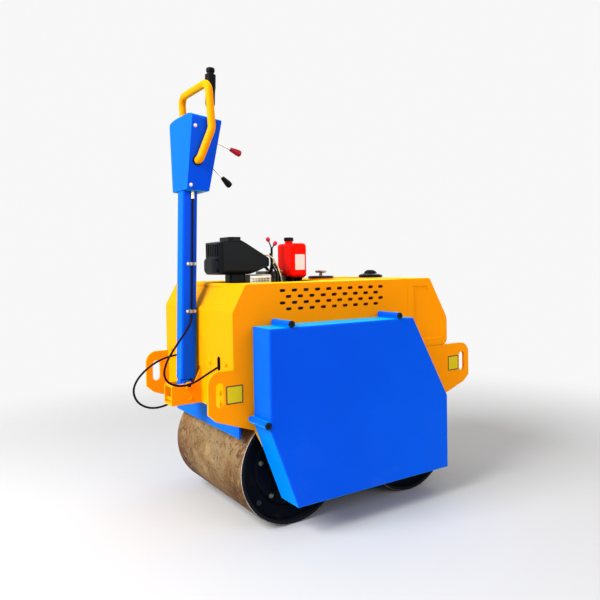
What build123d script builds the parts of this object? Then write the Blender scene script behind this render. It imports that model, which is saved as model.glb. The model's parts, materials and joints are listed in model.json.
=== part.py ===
"""Hand-guided tandem roller: two smooth steel drums under a sheet-metal hood,
steered by an upright tiller that folds back to its working height.

Millimetres, +X forwards, +Y to the left, +Z up, ground at Z = 0,
origin midway between the two drum axles.
"""
from build123d import *
import math
import os

os.makedirs("parts", exist_ok=True)

# ---------------------------------------------------------------- driving sizes
# drums
drum_diameter = 425.0
drum_width = 600.0
drum_wall = 14.0
drum_edge_chamfer = 2.5
wheelbase = 555.0
end_recess = 22.0
end_thickness = 14.0
end_flange_radius = 150.0
end_flange_rise = 8.0
hub_radius = 62.0
hub_rise = 6.0
hub_chamfer = 3.0
# axles
axle_radius = 28.0
axle_clearance = 0.3
axle_engagement = 44.0
carrier_radius = 84.0
carrier_thickness = 10.0
carrier_chamfer = 4.0
# side plates
plate_gap = 9.0
plate_thickness = 12.0
plate_top = 588.0
ear_reach = 611.0
ear_radius = 45.0
ear_low = 446.0
ear_knee_x = 582.0
ear_knee_z = 420.0
beam_low_x = 441.0
beam_low_z = 370.0
lobe_radius = 85.0
arch_half = 120.0
arch_height = 330.0
arch_radius = 12.0
slot_x = 569.0
slot_z = 508.0
slot_width = 32.0
slot_length = 84.0
# cross members and deck
cross_x = 517.0
cross_thickness = 12.0
cross_low = 429.0
cross_clear = 4.0
deck_top = 566.0
deck_thickness = 6.0
fit_gap = 0.3
# hood
sheet = 3.0
hood_front = 260.0
hood_top = 874.0
hood_shoulder = 780.0
hood_top_rear = 469.0
hood_bend = 14.0
hood_lip_low = 566.0
hood_lip_gap = 1.0
hood_opening_rear = 440.0
hood_opening_front = 55.0
hood_opening_half = 165.0
hood_opening_radius = 25.0
panel_half = 146.0
panel_edge = 12.0
panel_corner = 10.0
panel_depth = 4.0
vent_length = 24.0
vent_height = 11.0
vent_first_x = -325.0
vent_pitch = 49.4
vent_top_z = 848.0
vent_row_pitch = 22.0
vent_rows = 4
vent_long_row = 10
cable_slot_y = 206.0
cable_slot_z = 596.0
cable_slot_width = 20.0
cable_slot_height = 46.0
# lid on the hood
lid_x = 51.0
lid_radius = 55.0
lid_thickness = 9.0
lid_chamfer = 3.0
collar_rise = 6.0
collar_flare = 25.0
latch_stem_radius = 7.0
latch_stem_height = 18.0
latch_bar_radius = 5.0
latch_bar_length = 72.0
# water tank at the front
tank_front = 485.0
tank_top = 876.0
tank_top_front = 387.0
tank_shoulder_z = 705.0
tank_gap = 0.5
tank_top_bend = 14.0
tank_front_bend = 60.0
tank_low_bend = 26.0
tank_edge = 7.0
tank_panel_inset = 34.0
tank_panel_depth = 5.0
tank_panel_draft = 35.0
tank_cap_x = 322.0
tank_cap_radius = 54.0
tank_cap_wall = 9.0
tank_cap_rise = 34.0
tank_cap_edge = 4.0
tank_cap_brim = 30.0
tank_cap_brim_rise = 19.0
tank_cap_flat = 12.0
tank_cap_dome = 24.0
# side covers
cover_depth = 119.0
cover_sheet = 4.0
cover_rear = 445.0
cover_top = 729.0
cover_top_front = 184.0
cover_front = 362.0
cover_front_knee = 406.0
cover_low = 115.0
cover_low_rear = 343.0
cover_rear_knee = 391.0
cover_bend = 6.0
sleeve_radius = 12.0
sleeve_bore = 6.0
sleeve_overhang = 4.0
sleeve_rear_x = 362.0
sleeve_front_x = 113.0
sleeve_edge_z = 413.0
# scrapers
scraper_x = 490.0
scraper_sheet = 6.0
scraper_low = 343.0
scraper_half = 294.0
scraper_flange = 26.0
blade_thickness = 6.0
blade_rise = 4.0
blade_inset = 60.0
blade_running_gap = 6.0
# engine
rail_height = 24.0
rail_width = 40.0
rail_y = 120.0
rail_overhang = 40.0
engine_rear = 400.0
engine_front = 40.0
engine_half_width = 150.0
engine_corner = 20.0
engine_block_top = 862.0
# cylinder head: base, fins, rocker cover
head_x = -200.0
head_length = 92.0
head_width = 110.0
fin_thickness = 3.0
fin_pitch = 8.0
fin_count = 4
fin_web = 7.0
rocker_inset = 5.0
rocker_height = 20.0
rocker_bend = 6.0
# air cleaner
cleaner_rear = 472.0
cleaner_front = 264.0
cleaner_y = -55.0
cleaner_half = 73.0
cleaner_low = 905.0
cleaner_shoulder = 1026.0
cleaner_crown = 1037.0
cleaner_slope_x = 392.0
cleaner_nose_high = 962.0
cleaner_nose_low = 938.0
cleaner_nose_half = 38.0
cleaner_taper_x = 352.0
cleaner_corner = 16.0
cleaner_ledge_top = 965.0
cleaner_ledge_low = 912.0
cleaner_ledge_rise = 9.0
rib_count = 7
rib_width = 9.0
rib_depth = 5.0
cleaner_lid_x = 398.0
cleaner_lid_length = 50.0
cleaner_lid_width = 104.0
cleaner_lid_rise = 9.0
duct_x = 379.0
duct_length = 66.0
duct_width = 52.0
duct_corner = 8.0
# muffler shield
shield_x = -293.0
shield_y = -60.0
shield_length = 90.0
shield_width = 80.0
shield_rise = 41.0
shield_bend = 9.0
shield_sheet = 2.0
shield_slot_length = 9.0
shield_slot_height = 4.0
shield_pitch = 12.6
shield_columns = 6
shield_rows = 3
# fuel tank, its bracket and cap
fuel_x = -113.0
fuel_y = -34.0
fuel_length = 70.0
fuel_width = 134.0
fuel_height = 137.0
fuel_rise = 26.0
fuel_corner = 18.0
fuel_edge = 13.0
fuel_neck_x = -11.0
fuel_neck_y = 4.0
fuel_neck_radius = 16.0
fuel_neck_rise = 10.0
fuel_cap_radius = 20.0
fuel_cap_rise = 15.0
fuel_cap_sides = 12
fuel_cap_chamfer = 3.0
fuel_foot_x = 20.0
fuel_foot = 8.0
fuel_foot_width = 80.0
fuel_tray_length = 60.0
fuel_tray_width = 90.0
fuel_tray_thickness = 3.0
# two red knobs on a stalk beside the fuel tank
stalk_x = -210.0
stalk_y = -40.0
stalk_radius = 4.5
stalk_top = 1004.0
stem_radius = 2.5
knob_radius = 8.5
knob_length = 17.0
knob_waist = 5.5
knob_places = [(-226.0, 1041.0), (-194.0, 1025.0)]
# tiller
pivot_x = -568.0
pivot_z = 500.0
lean = 1.7
column_depth = 56.0
column_width = 60.0
column_wall = 4.0
column_offset = 5.0
column_foot = 22.0
column_corner = 7.0
column_top = 717.0
foot_half_width = 16.0
foot_heel = 40.0
foot_half_depth = 22.0
foot_boss_radius = 19.0
foot_boss_gap = 0.5
cheek_gap = 1.5
cheek_thickness = 8.0
cheek_rear = 633.0
cheek_low = 430.0
cheek_top = 506.0
cheek_corner = 14.0
cheek_flat_end = 545.0
cheek_flare_top = 560.0
cheek_bend = 20.0
cheek_step = 10.0
stop_radius = 6.0
stop_inset = 11.0
stop_drop = 8.0
stop_rise = 20.0
pin_radius = 9.0
pin_clearance = 0.1
pin_head_radius = 14.0
pin_head = 8.0
box_low_half = 73.0
box_top_half = 116.0
box_rear = -25.0
box_low_front = 60.0
box_top_front = 90.0
box_rear_v = 998.0
box_crown_u = 39.0
box_crown_v = 995.0
box_front_v = 988.0
box_head_v = 982.0
box_arch_v = 996.0
box_top_tilt = 5.0
box_corner = 9.0
box_shoulder = 12.0
box_sheet = 3.0
bar_radius = 14.0
bar_entry_u = 7.0
bar_entry_v = 823.0
bar_elbow_half = 112.0
bar_end_half = 72.0
bar_bend_u = 44.0
bar_bend_v = 938.0
bar_top_u = 28.0
bar_top_v = 1102.0
bar_bends = (18, 60, 38)
bar_ring_wall = 4.5
bar_ring_thickness = 4.0
bar_ring_clearance = 0.8
cable_radius = 4.0
cable_u = 11.0
clip_v = (272.0, 448.0)
clip_width = 12.0
clip_wall = 2.8
clip_foot = 38.0
clip_sheet = 2.4
ferrule_radius = 6.0
ferrule_length = 28.0
ferrule_offset = 2.0
ring_radius = 9.0
ring_thickness = 5.0

# ---------------------------------------------------------------- worked-out sizes
drum_radius = drum_diameter / 2
axle_x = wheelbase / 2
plate_inner = drum_width / 2 + plate_gap
plate_outer = plate_inner + plate_thickness
end_face = drum_width / 2 - end_recess
hood_rear = cross_x + sheet
cross_half = plate_inner - fit_gap
rail_top = deck_top + rail_height
cable_y = column_width / 2 + cable_radius + fit_gap
tank_low = plate_top + fit_gap
head_low = engine_block_top
fins_top = head_low + fin_count * fin_pitch
bar_half = box_top_half + bar_radius
top_tilt = math.radians(box_top_tilt)
box_front_slope = (box_top_front - box_low_front) / (box_front_v - column_top)
box_side_slope = (box_top_half - box_low_half) / (box_head_v - column_top)

# the tiller's own frame: u forwards, v up the column, both through the fold pin
lean_x = (math.cos(math.radians(lean)), 0, -math.sin(math.radians(lean)))
tiller_side = Plane(origin=(pivot_x, 0, pivot_z), x_dir=lean_x, z_dir=(0, -1, 0))
tiller_base = Plane(origin=(pivot_x, 0, pivot_z), x_dir=lean_x,
                    z_dir=(math.sin(math.radians(lean)), 0, math.cos(math.radians(lean))))
tiller_front = Plane(origin=(pivot_x, 0, pivot_z), x_dir=(0, 1, 0), z_dir=lean_x)


def save(piece, name):
    """Label one finished piece and write it under its own name."""
    piece.part.label = name
    export_step(piece.part, f"parts/{name}.step")


def tiller_point(u, v, y):
    """A point of the tiller in the machine's frame."""
    return tiller_base.from_local_coords((u, y, v))


# ---------------------------------------------------------------- drums
def make_drum(name, x):
    centre = (x, 0, drum_radius)
    with BuildPart() as shell:
        with BuildSketch(Plane(centre, z_dir=(0, -1, 0))):
            Circle(drum_radius)
            Circle(drum_radius - drum_wall, mode=Mode.SUBTRACT)
        extrude(amount=drum_width / 2, both=True)
        rims = shell.edges().filter_by(GeomType.CIRCLE).sort_by(SortBy.RADIUS)[-2:]
        chamfer(rims, drum_edge_chamfer)
    save(shell, name + "_drum_shell")

    flat = end_thickness
    flange = flat + end_flange_rise
    hub = flange + hub_rise
    bore = axle_radius + axle_clearance
    end_profile = [  # distance from the axle line, distance out from the disc's inner face
        (bore, 0), (drum_radius - drum_wall - fit_gap, 0), (drum_radius - drum_wall - fit_gap, flat),
        (end_flange_radius, flat), (end_flange_radius - end_flange_rise, flange),
        (hub_radius, flange), (hub_radius - hub_chamfer, hub), (bore, hub),
    ]
    with BuildPart() as ends:
        for side in (-1, 1):
            inner = side * (end_face - end_thickness)
            with BuildSketch(Plane((x, inner, drum_radius), x_dir=(0, 0, 1), z_dir=(-side, 0, 0))):
                with BuildLine():
                    Polyline(*end_profile, close=True)
                make_face()
            revolve(axis=Axis(centre, (0, 1, 0)))
    save(ends, name + "_drum_ends")


def make_axle(name, x, side):
    with BuildPart() as axle:
        with BuildSketch(Plane((x, side * plate_inner, drum_radius), z_dir=(0, -side, 0))):
            Circle(axle_radius)
        extrude(amount=plate_gap + axle_engagement)
        with BuildSketch(Plane((x, side * plate_inner, drum_radius), z_dir=(0, -side, 0))):
            Circle(carrier_radius)
        extrude(amount=carrier_thickness)
        rim = axle.edges().filter_by(GeomType.CIRCLE).group_by(SortBy.RADIUS)[-1]
        chamfer(rim.sort_by(Axis.Y)[0 if side > 0 else -1], carrier_chamfer)
    save(axle, name)


for drum_name, drum_x in (("rear", -axle_x), ("front", axle_x)):
    make_drum(drum_name, drum_x)
    make_axle(drum_name + "_axle_right", drum_x, -1)
    make_axle(drum_name + "_axle_left", drum_x, 1)

# ---------------------------------------------------------------- side plates
with BuildPart() as side_plate_right:
    with BuildSketch(Plane.XZ.offset(plate_inner)) as plate_outline:
        with BuildLine():
            Polyline(
                (0, plate_top), (ear_reach, plate_top), (ear_reach, ear_low),
                (ear_knee_x, ear_knee_z), (beam_low_x, beam_low_z),
                (axle_x + lobe_radius, drum_radius), (axle_x - lobe_radius, drum_radius),
                (arch_half, arch_height), (0, arch_height), close=True,
            )
        make_face()
        corner = plate_outline.vertices().sort_by_distance((ear_reach, plate_top))[0]
        fillet(corner, ear_radius)
        arch_corner = plate_outline.vertices().sort_by_distance((arch_half, arch_height))[0]
        fillet(arch_corner, arch_radius)
        with Locations((axle_x, drum_radius)):
            Circle(lobe_radius)
        mirror(about=Plane.YZ)
        with Locations((-slot_x, slot_z), (slot_x, slot_z)):
            SlotOverall(slot_length, slot_width, rotation=90, mode=Mode.SUBTRACT)
    extrude(amount=plate_thickness)
save(side_plate_right, "side_plate_right")

with BuildPart() as side_plate_left:
    add(mirror(side_plate_right.part, about=Plane.XZ))
save(side_plate_left, "side_plate_left")


# ---------------------------------------------------------------- cross members, deck
def make_cross_member(name, side, slotted):
    with BuildPart() as cross:
        with BuildSketch(Plane.XZ.offset(-cross_half)):
            with BuildLine():
                Polyline(
                    (side * cross_x, cross_low),
                    (side * cross_x, plate_top - cross_clear),
                    (side * (cross_x - cross_thickness), plate_top - cross_clear),
                    (side * (cross_x - cross_thickness), cross_low + cross_thickness),
                    (side * (cross_x - 3 * cross_thickness), cross_low + cross_thickness),
                    (side * (cross_x - 3 * cross_thickness), cross_low),
                    close=True,
                )
            make_face()
        extrude(amount=2 * cross_half)
        if slotted:
            with Locations((side * cross_x, -cable_slot_y, cable_slot_z)):
                Box(4 * cross_thickness, cable_slot_width, cable_slot_height, mode=Mode.SUBTRACT)
    save(cross, name)


make_cross_member("rear_cross_member", -1, True)
make_cross_member("front_cross_member", 1, False)

deck_half = cross_x - cross_thickness - fit_gap
with BuildPart() as deck_plate:
    with BuildSketch(Plane.XY.offset(deck_top - deck_thickness)):
        Rectangle(2 * deck_half, 2 * cross_half)
    extrude(amount=deck_thickness)
    with BuildSketch(Plane.XY.offset(deck_top)):
        with Locations((-(engine_rear + engine_front) / 2, -rail_y),
                       (-(engine_rear + engine_front) / 2, rail_y)):
            Rectangle(engine_rear - engine_front + 2 * rail_overhang, rail_width)
    extrude(amount=rail_height)
save(deck_plate, "deck_plate")

# ---------------------------------------------------------------- hood
slope_length = math.hypot(hood_rear - hood_top_rear, hood_top - hood_shoulder)
slope_plane = Plane(
    origin=(-(hood_rear + hood_top_rear) / 2, 0, (hood_top + hood_shoulder) / 2), x_dir=(0, 1, 0),
    z_dir=(hood_shoulder - hood_top, 0, hood_rear - hood_top_rear),
)


def hood_side_view(low):
    """The hood from the side, with its two bends across the machine."""
    with BuildSketch() as view:
        with BuildLine():
            Polyline(
                (-hood_rear, low), (-hood_rear, hood_shoulder), (-hood_top_rear, hood_top),
                (hood_front, hood_top), (hood_front, low), close=True,
            )
        make_face()
        for bend in ((-hood_rear, hood_shoulder), (-hood_top_rear, hood_top)):
            fillet(view.vertices().sort_by_distance(bend)[0], hood_bend)
    return view.sketch


with BuildPart() as hood:
    with BuildSketch(Plane.XZ):
        add(hood_side_view(plate_top))
    extrude(amount=plate_outer, both=True)
    # lip of the rear panel, down in front of the cross member
    with BuildSketch(Plane.YZ.offset(-hood_rear)):
        with Locations((0, (hood_lip_low + plate_top + sheet) / 2)):
            Rectangle(2 * (plate_inner - hood_lip_gap), plate_top + sheet - hood_lip_low)
    extrude(amount=sheet)
    with BuildSketch(Plane.XZ):
        add(hood_side_view(plate_top - 2 * sheet))
        offset(amount=-sheet, mode=Mode.REPLACE)
    extrude(amount=plate_outer - sheet, both=True, mode=Mode.SUBTRACT)
    # shallow panel pressed into the rear slope, its sheet following inside
    panel_length = slope_length - 2 * panel_edge
    with BuildSketch(slope_plane.offset(-panel_depth - sheet)):
        RectangleRounded(2 * panel_half + 2 * sheet, panel_length + sheet, panel_corner)
    extrude(amount=panel_depth + sheet / 2)
    with BuildSketch(slope_plane.offset(-panel_depth)):
        RectangleRounded(2 * panel_half, panel_length, panel_corner)
    extrude(amount=2 * panel_depth, mode=Mode.SUBTRACT)
    # opening in the top for the engine
    opening_length = hood_opening_rear - hood_opening_front
    with BuildSketch(Plane.XY.offset(hood_top - 2 * sheet)):
        with Locations((-(hood_opening_rear + hood_opening_front) / 2, 0)):
            RectangleRounded(opening_length, 2 * hood_opening_half, hood_opening_radius)
    extrude(amount=4 * sheet, mode=Mode.SUBTRACT)
    # raised collar under the round lid
    with BuildSketch(Plane((lid_x, 0, hood_top))):
        Circle(lid_radius)
    extrude(amount=collar_rise, taper=collar_flare)
    # staggered rows of vent slots through both sides
    with BuildSketch(Plane.XZ):
        for row in range(vent_rows):
            count = vent_long_row - row % 2
            start = vent_first_x + (row % 2) * vent_pitch / 2
            for place in range(count):
                with Locations((start + place * vent_pitch, vent_top_z - row * vent_row_pitch)):
                    SlotOverall(vent_length, vent_height)
    extrude(amount=plate_outer + sheet, both=True, mode=Mode.SUBTRACT)
    # upright slot in the rear panel for the control cable
    with BuildSketch(Plane.YZ.offset(-hood_rear - sheet)):
        with Locations((-cable_slot_y, cable_slot_z)):
            SlotOverall(cable_slot_height, cable_slot_width, rotation=90)
    extrude(amount=3 * sheet, mode=Mode.SUBTRACT)
save(hood, "hood")

# round lid: disc, stem and the bar of its latch
lid_low = hood_top + collar_rise
with BuildPart() as oil_lid:
    with BuildSketch(Plane((lid_x, 0, lid_low))):
        Circle(lid_radius)
    extrude(amount=lid_thickness)
    chamfer(oil_lid.edges().filter_by(GeomType.CIRCLE).sort_by(Axis.Z)[-1], lid_chamfer)
    with BuildSketch(Plane((lid_x, 0, lid_low + lid_thickness))):
        Circle(latch_stem_radius)
    extrude(amount=latch_stem_height)
    latch_z = lid_low + lid_thickness + latch_stem_height
    with BuildSketch(Plane.XZ.offset(-latch_bar_length / 2)):
        with Locations((lid_x, latch_z)):
            Circle(latch_bar_radius)
    extrude(amount=latch_bar_length)
save(oil_lid, "oil_lid")

# ---------------------------------------------------------------- water tank
tank_rear = hood_front + tank_gap


def tank_side_view():
    """The tank from the side; its corners are rounded by the bends named above."""
    corners = [  # x, z, bend
        (tank_rear, tank_low, 0), (tank_rear, tank_top, 0), (tank_top_front, tank_top, tank_top_bend),
        (tank_front, tank_shoulder_z, tank_front_bend), (tank_front, tank_low, tank_low_bend),
    ]
    with BuildSketch() as view:
        with BuildLine():
            Polyline(*[(x, z) for x, z, bend in corners], close=True)
        make_face()
        for x, z, bend in corners:
            if bend:
                fillet(view.vertices().sort_by_distance((x, z))[0], bend)
    return view.sketch


with BuildPart() as water_tank:
    with BuildSketch(Plane.XZ):
        add(tank_side_view())
    extrude(amount=plate_outer, both=True)
    outer_edges = [
        edge for face in water_tank.faces().filter_by(Axis.Y) for edge in face.edges()
        if edge.center().X > tank_rear + fit_gap
    ]
    fillet(outer_edges, tank_edge)
    # a panel with drafted walls sunk into each side
    for side in (-1, 1):
        with BuildSketch(Plane.XZ.offset(side * (plate_outer + tank_panel_depth))):
            add(tank_side_view())
            offset(amount=-tank_panel_inset + tank_panel_depth, mode=Mode.REPLACE)
        extrude(amount=-side * 2 * tank_panel_depth, taper=tank_panel_draft, mode=Mode.SUBTRACT)
save(water_tank, "water_tank")

with BuildPart() as tank_cap:
    with BuildSketch(Plane((tank_cap_x, 0, tank_top), x_dir=(1, 0, 0), z_dir=(0, -1, 0))):
        with BuildLine():
            Polyline(
                (tank_cap_flat, tank_cap_rise), (0, tank_cap_rise), (0, 0), (tank_cap_radius, 0),
                (tank_cap_radius, tank_cap_wall),
                (tank_cap_radius - tank_cap_edge, tank_cap_wall + tank_cap_edge),
                (tank_cap_brim, tank_cap_brim_rise),
            )
            RadiusArc((tank_cap_brim, tank_cap_brim_rise), (tank_cap_flat, tank_cap_rise),
                      -tank_cap_dome)
        make_face()
    revolve(axis=Axis((tank_cap_x, 0, tank_top), (0, 0, 1)))
save(tank_cap, "tank_cap")

# ---------------------------------------------------------------- side covers
cover_outline = [
    (-cover_rear, cover_top), (cover_top_front, cover_top), (cover_front, cover_front_knee),
    (cover_front, cover_low), (-cover_low_rear, cover_low), (-cover_rear, cover_rear_knee),
]
sleeve_places = [
    (-sleeve_rear_x, cover_top + sleeve_radius - 1.0),
    (sleeve_front_x, cover_top + sleeve_radius - 1.0),
    (-cover_rear - sleeve_radius + 1.0, sleeve_edge_z),
]
with BuildPart() as cover_right:
    with BuildSketch(Plane.XZ.offset(plate_outer)):
        with BuildLine():
            Polyline(*cover_outline, close=True)
        make_face()
    extrude(amount=cover_depth)
    fillet(cover_right.faces().sort_by(Axis.Y)[0].edges(), cover_bend)
    with BuildSketch(Plane.XZ.offset(plate_outer)):
        with BuildLine():
            outline = Polyline(*cover_outline, close=True)
            offset(outline, amount=-cover_sheet, kind=Kind.INTERSECTION, mode=Mode.REPLACE)
        make_face()
    extrude(amount=cover_depth - cover_sheet, mode=Mode.SUBTRACT)
    with BuildSketch(Plane.XZ.offset(plate_outer)):
        for place in sleeve_places:
            with Locations(place):
                Circle(sleeve_radius)
                Circle(sleeve_bore, mode=Mode.SUBTRACT)
    extrude(amount=cover_depth + sleeve_overhang)
save(cover_right, "cover_right")

with BuildPart() as cover_left:
    add(mirror(cover_right.part, about=Plane.XZ))
save(cover_left, "cover_left")


# ---------------------------------------------------------------- scrapers
def make_scraper(name, side):
    """Web hung under the cross member, with a blade pointing at the drum."""
    top = cross_low - fit_gap
    web = side * scraper_x
    web_in = side * (scraper_x - scraper_sheet)
    flange_end = side * (scraper_x - scraper_flange)
    blade_low = scraper_low + blade_rise
    blade_half = scraper_half - blade_inset
    reach = drum_radius + blade_running_gap
    tip = side * (axle_x + math.sqrt(reach ** 2 - (blade_low - drum_radius) ** 2))
    with BuildPart() as scraper:
        with BuildSketch(Plane.XZ.offset(-scraper_half)):
            with BuildLine():
                Polyline(
                    (web, scraper_low), (web, top), (flange_end, top),
                    (flange_end, top - scraper_sheet), (web_in, top - scraper_sheet),
                    (web_in, scraper_low), close=True,
                )
            make_face()
        extrude(amount=2 * scraper_half)
        with BuildSketch(Plane.XZ.offset(-blade_half)):
            with BuildLine():
                Polyline(
                    (web_in, blade_low), (tip, blade_low), (tip, blade_low + blade_thickness),
                    (web_in, blade_low + blade_thickness), close=True,
                )
            make_face()
        extrude(amount=2 * blade_half)
    save(scraper, name)


make_scraper("rear_scraper", -1)
make_scraper("front_scraper", 1)

# ---------------------------------------------------------------- engine
engine_x = -(engine_rear + engine_front) / 2
with BuildPart() as engine_block:
    with BuildSketch(Plane((engine_x, 0, rail_top))):
        RectangleRounded(engine_rear - engine_front, 2 * engine_half_width, engine_corner)
    extrude(amount=engine_block_top - rail_top)
save(engine_block, "engine_block")

with BuildPart() as engine_head:
    with BuildSketch(Plane((head_x, 0, head_low))):
        Rectangle(head_length - 2 * fin_web, head_width - 2 * fin_web)
    extrude(amount=fins_top - head_low)
    for fin in range(fin_count):
        with BuildSketch(Plane((head_x, 0, head_low + (fin + 1) * fin_pitch - fin_thickness))):
            Rectangle(head_length, head_width)
        extrude(amount=fin_thickness)
    with BuildSketch(Plane((head_x, 0, fins_top))):
        RectangleRounded(head_length - 2 * rocker_inset, head_width - 2 * rocker_inset, rocker_bend * 2)
    extrude(amount=rocker_height)
    fillet(engine_head.faces().sort_by(Axis.Z)[-1].edges(), rocker_bend)
save(engine_head, "engine_head")

# air cleaner: a moulded body whose nose falls away forwards, cut to its plan, with a lid on top,
# grooves between the ribs of its rear face and a ledge under them
with BuildPart() as air_cleaner:
    with BuildSketch(Plane.XZ.offset(-cleaner_y)) as cleaner_side:
        with BuildLine():
            Polyline(
                (-cleaner_rear, cleaner_low), (-cleaner_rear, cleaner_shoulder),
                (-cleaner_slope_x, cleaner_crown), (-cleaner_front, cleaner_nose_high),
                (-cleaner_front, cleaner_nose_low), (-cleaner_taper_x, cleaner_low), close=True,
            )
        make_face()
        fillet(cleaner_side.vertices(), cleaner_corner / 2)
    extrude(amount=cleaner_half, both=True)
    with BuildSketch(Plane.XY.offset(cleaner_low)) as cleaner_plan:
        with BuildLine():
            Polyline(
                (-cleaner_rear, cleaner_y - cleaner_half), (-cleaner_rear, cleaner_y + cleaner_half),
                (-cleaner_taper_x, cleaner_y + cleaner_half),
                (-cleaner_front, cleaner_y + cleaner_nose_half),
                (-cleaner_front, cleaner_y - cleaner_half), close=True,
            )
        make_face()
        fillet(cleaner_plan.vertices(), cleaner_corner)
    extrude(amount=cleaner_crown - cleaner_low, mode=Mode.INTERSECT)
    with BuildSketch(Plane.YZ.offset(-cleaner_rear)) as cleaner_end:
        with Locations((cleaner_y, (cleaner_crown + cleaner_low) / 2)):
            Rectangle(2 * cleaner_half, cleaner_crown - cleaner_low)
        fillet(cleaner_end.vertices(), cleaner_corner)
    extrude(amount=cleaner_rear, mode=Mode.INTERSECT)
    rib_pitch = 2 * (cleaner_half - cleaner_corner) / rib_count
    rib_places = [
        (cleaner_y - cleaner_half + cleaner_corner + (place + 0.5) * rib_pitch,
         (cleaner_ledge_top + cleaner_shoulder) / 2)
        for place in range(rib_count)
    ]
    with BuildSketch(Plane.YZ.offset(-cleaner_rear)):
        with Locations(*rib_places):
            Rectangle(rib_width, cleaner_shoulder - cleaner_ledge_top - cleaner_corner)
    extrude(amount=rib_depth, mode=Mode.SUBTRACT)
    with BuildSketch(Plane.YZ.offset(-cleaner_rear - cleaner_ledge_rise)):
        with Locations((cleaner_y, (cleaner_ledge_top + cleaner_ledge_low) / 2)):
            RectangleRounded(2 * (cleaner_half - cleaner_corner), cleaner_ledge_top - cleaner_ledge_low,
                             cleaner_corner)
    extrude(amount=cleaner_ledge_rise + rib_depth)
    with BuildSketch(Plane((-cleaner_lid_x, cleaner_y, cleaner_shoulder))):
        RectangleRounded(cleaner_lid_length, cleaner_lid_width, cleaner_corner)
    extrude(amount=cleaner_crown - cleaner_shoulder + cleaner_lid_rise)
    with BuildSketch(Plane((-duct_x, cleaner_y, engine_block_top))):
        RectangleRounded(duct_length, duct_width, duct_corner)
    extrude(amount=cleaner_low - engine_block_top)
save(air_cleaner, "air_cleaner")

# muffler shield: a bent sheet, open below, with slots along both sides
with BuildPart() as muffler_shield:
    with BuildSketch(Plane.YZ.offset(shield_x - shield_length / 2)) as shield_arch:
        with Locations((shield_y, engine_block_top + shield_rise / 2)):
            Rectangle(shield_width, shield_rise)
        fillet(shield_arch.vertices().group_by(Axis.Y)[-1], shield_bend)
    extrude(amount=shield_length)
    with BuildSketch(Plane.YZ.offset(shield_x - shield_length / 2 + shield_sheet)) as shield_space:
        with Locations((shield_y, engine_block_top + (shield_rise - shield_sheet) / 2)):
            Rectangle(shield_width - 2 * shield_sheet, shield_rise - shield_sheet)
        fillet(shield_space.vertices().group_by(Axis.Y)[-1], shield_bend - shield_sheet)
    extrude(amount=shield_length - 2 * shield_sheet, mode=Mode.SUBTRACT)
    with BuildSketch(Plane.XZ.offset(-shield_y)):
        with Locations((shield_x, engine_block_top + (shield_rise - shield_bend) / 2)):
            with GridLocations(shield_pitch, 2 * shield_slot_height, shield_columns, shield_rows):
                Rectangle(shield_slot_length, shield_slot_height)
    extrude(amount=shield_width, both=True, mode=Mode.SUBTRACT)
save(muffler_shield, "muffler_shield")

fuel_low = engine_block_top + fuel_rise
with BuildPart() as fuel_bracket:
    with BuildSketch(Plane((fuel_x, fuel_y, engine_block_top))):
        with Locations((-fuel_foot_x, 0), (fuel_foot_x, 0)):
            Rectangle(fuel_foot, fuel_foot_width)
    extrude(amount=fuel_rise - fuel_tray_thickness)
    with BuildSketch(Plane((fuel_x, fuel_y, fuel_low - fuel_tray_thickness))):
        Rectangle(fuel_tray_length, fuel_tray_width)
    extrude(amount=fuel_tray_thickness)
save(fuel_bracket, "fuel_bracket")

with BuildPart() as fuel_tank:
    with BuildSketch(Plane((fuel_x, fuel_y, fuel_low))):
        RectangleRounded(fuel_length, fuel_width, fuel_corner)
    extrude(amount=fuel_height)
    tank_ends = fuel_tank.faces().sort_by(Axis.Z)
    fillet(tank_ends[0].edges() + tank_ends[-1].edges(), fuel_edge)
    with BuildSketch(Plane((fuel_x + fuel_neck_x, fuel_y + fuel_neck_y, fuel_low + fuel_height))):
        Circle(fuel_neck_radius)
    extrude(amount=fuel_neck_rise)
save(fuel_tank, "fuel_tank")

with BuildPart() as fuel_cap:
    cap_low = fuel_low + fuel_height + fuel_neck_rise
    with BuildSketch(Plane((fuel_x + fuel_neck_x, fuel_y + fuel_neck_y, cap_low))):
        RegularPolygon(fuel_cap_radius, fuel_cap_sides)
    extrude(amount=fuel_cap_rise)
    chamfer(fuel_cap.faces().sort_by(Axis.Z)[-1].edges(), fuel_cap_chamfer)
save(fuel_cap, "fuel_cap")

# stalk with two stems, each of which carries a knob
rocker_top = fins_top + rocker_height
stalk_end = Vector(stalk_x, stalk_y, stalk_top)
stem_ways = [(Vector(x, stalk_y, z) - stalk_end).normalized() for x, z in knob_places]
stem_ends = [
    Vector(x, stalk_y, z) - way * knob_length / 2 for (x, z), way in zip(knob_places, stem_ways)
]
with BuildPart() as engine_stalk:
    with BuildSketch(Plane((stalk_x, stalk_y, rocker_top))):
        Circle(stalk_radius)
    extrude(amount=stalk_top + stalk_radius - rocker_top)
    for way, end in zip(stem_ways, stem_ends):
        with BuildSketch(Plane(origin=stalk_end, z_dir=way)):
            Circle(stem_radius)
        extrude(amount=(end - stalk_end).length)
save(engine_stalk, "engine_stalk")

with BuildPart() as engine_knobs:
    for way, end in zip(stem_ways, stem_ends):
        with BuildSketch(Plane(origin=end, x_dir=(0, 1, 0), z_dir=way.cross(Vector(0, 1, 0)) * -1)):
            with BuildLine():
                Polyline((knob_waist, knob_length), (0, knob_length), (0, 0), (knob_waist, 0))
                ThreePointArc((knob_waist, 0), (knob_radius, knob_length / 2), (knob_waist, knob_length))
            make_face()
        revolve(axis=Axis(end, way))
save(engine_knobs, "engine_knobs")

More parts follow.
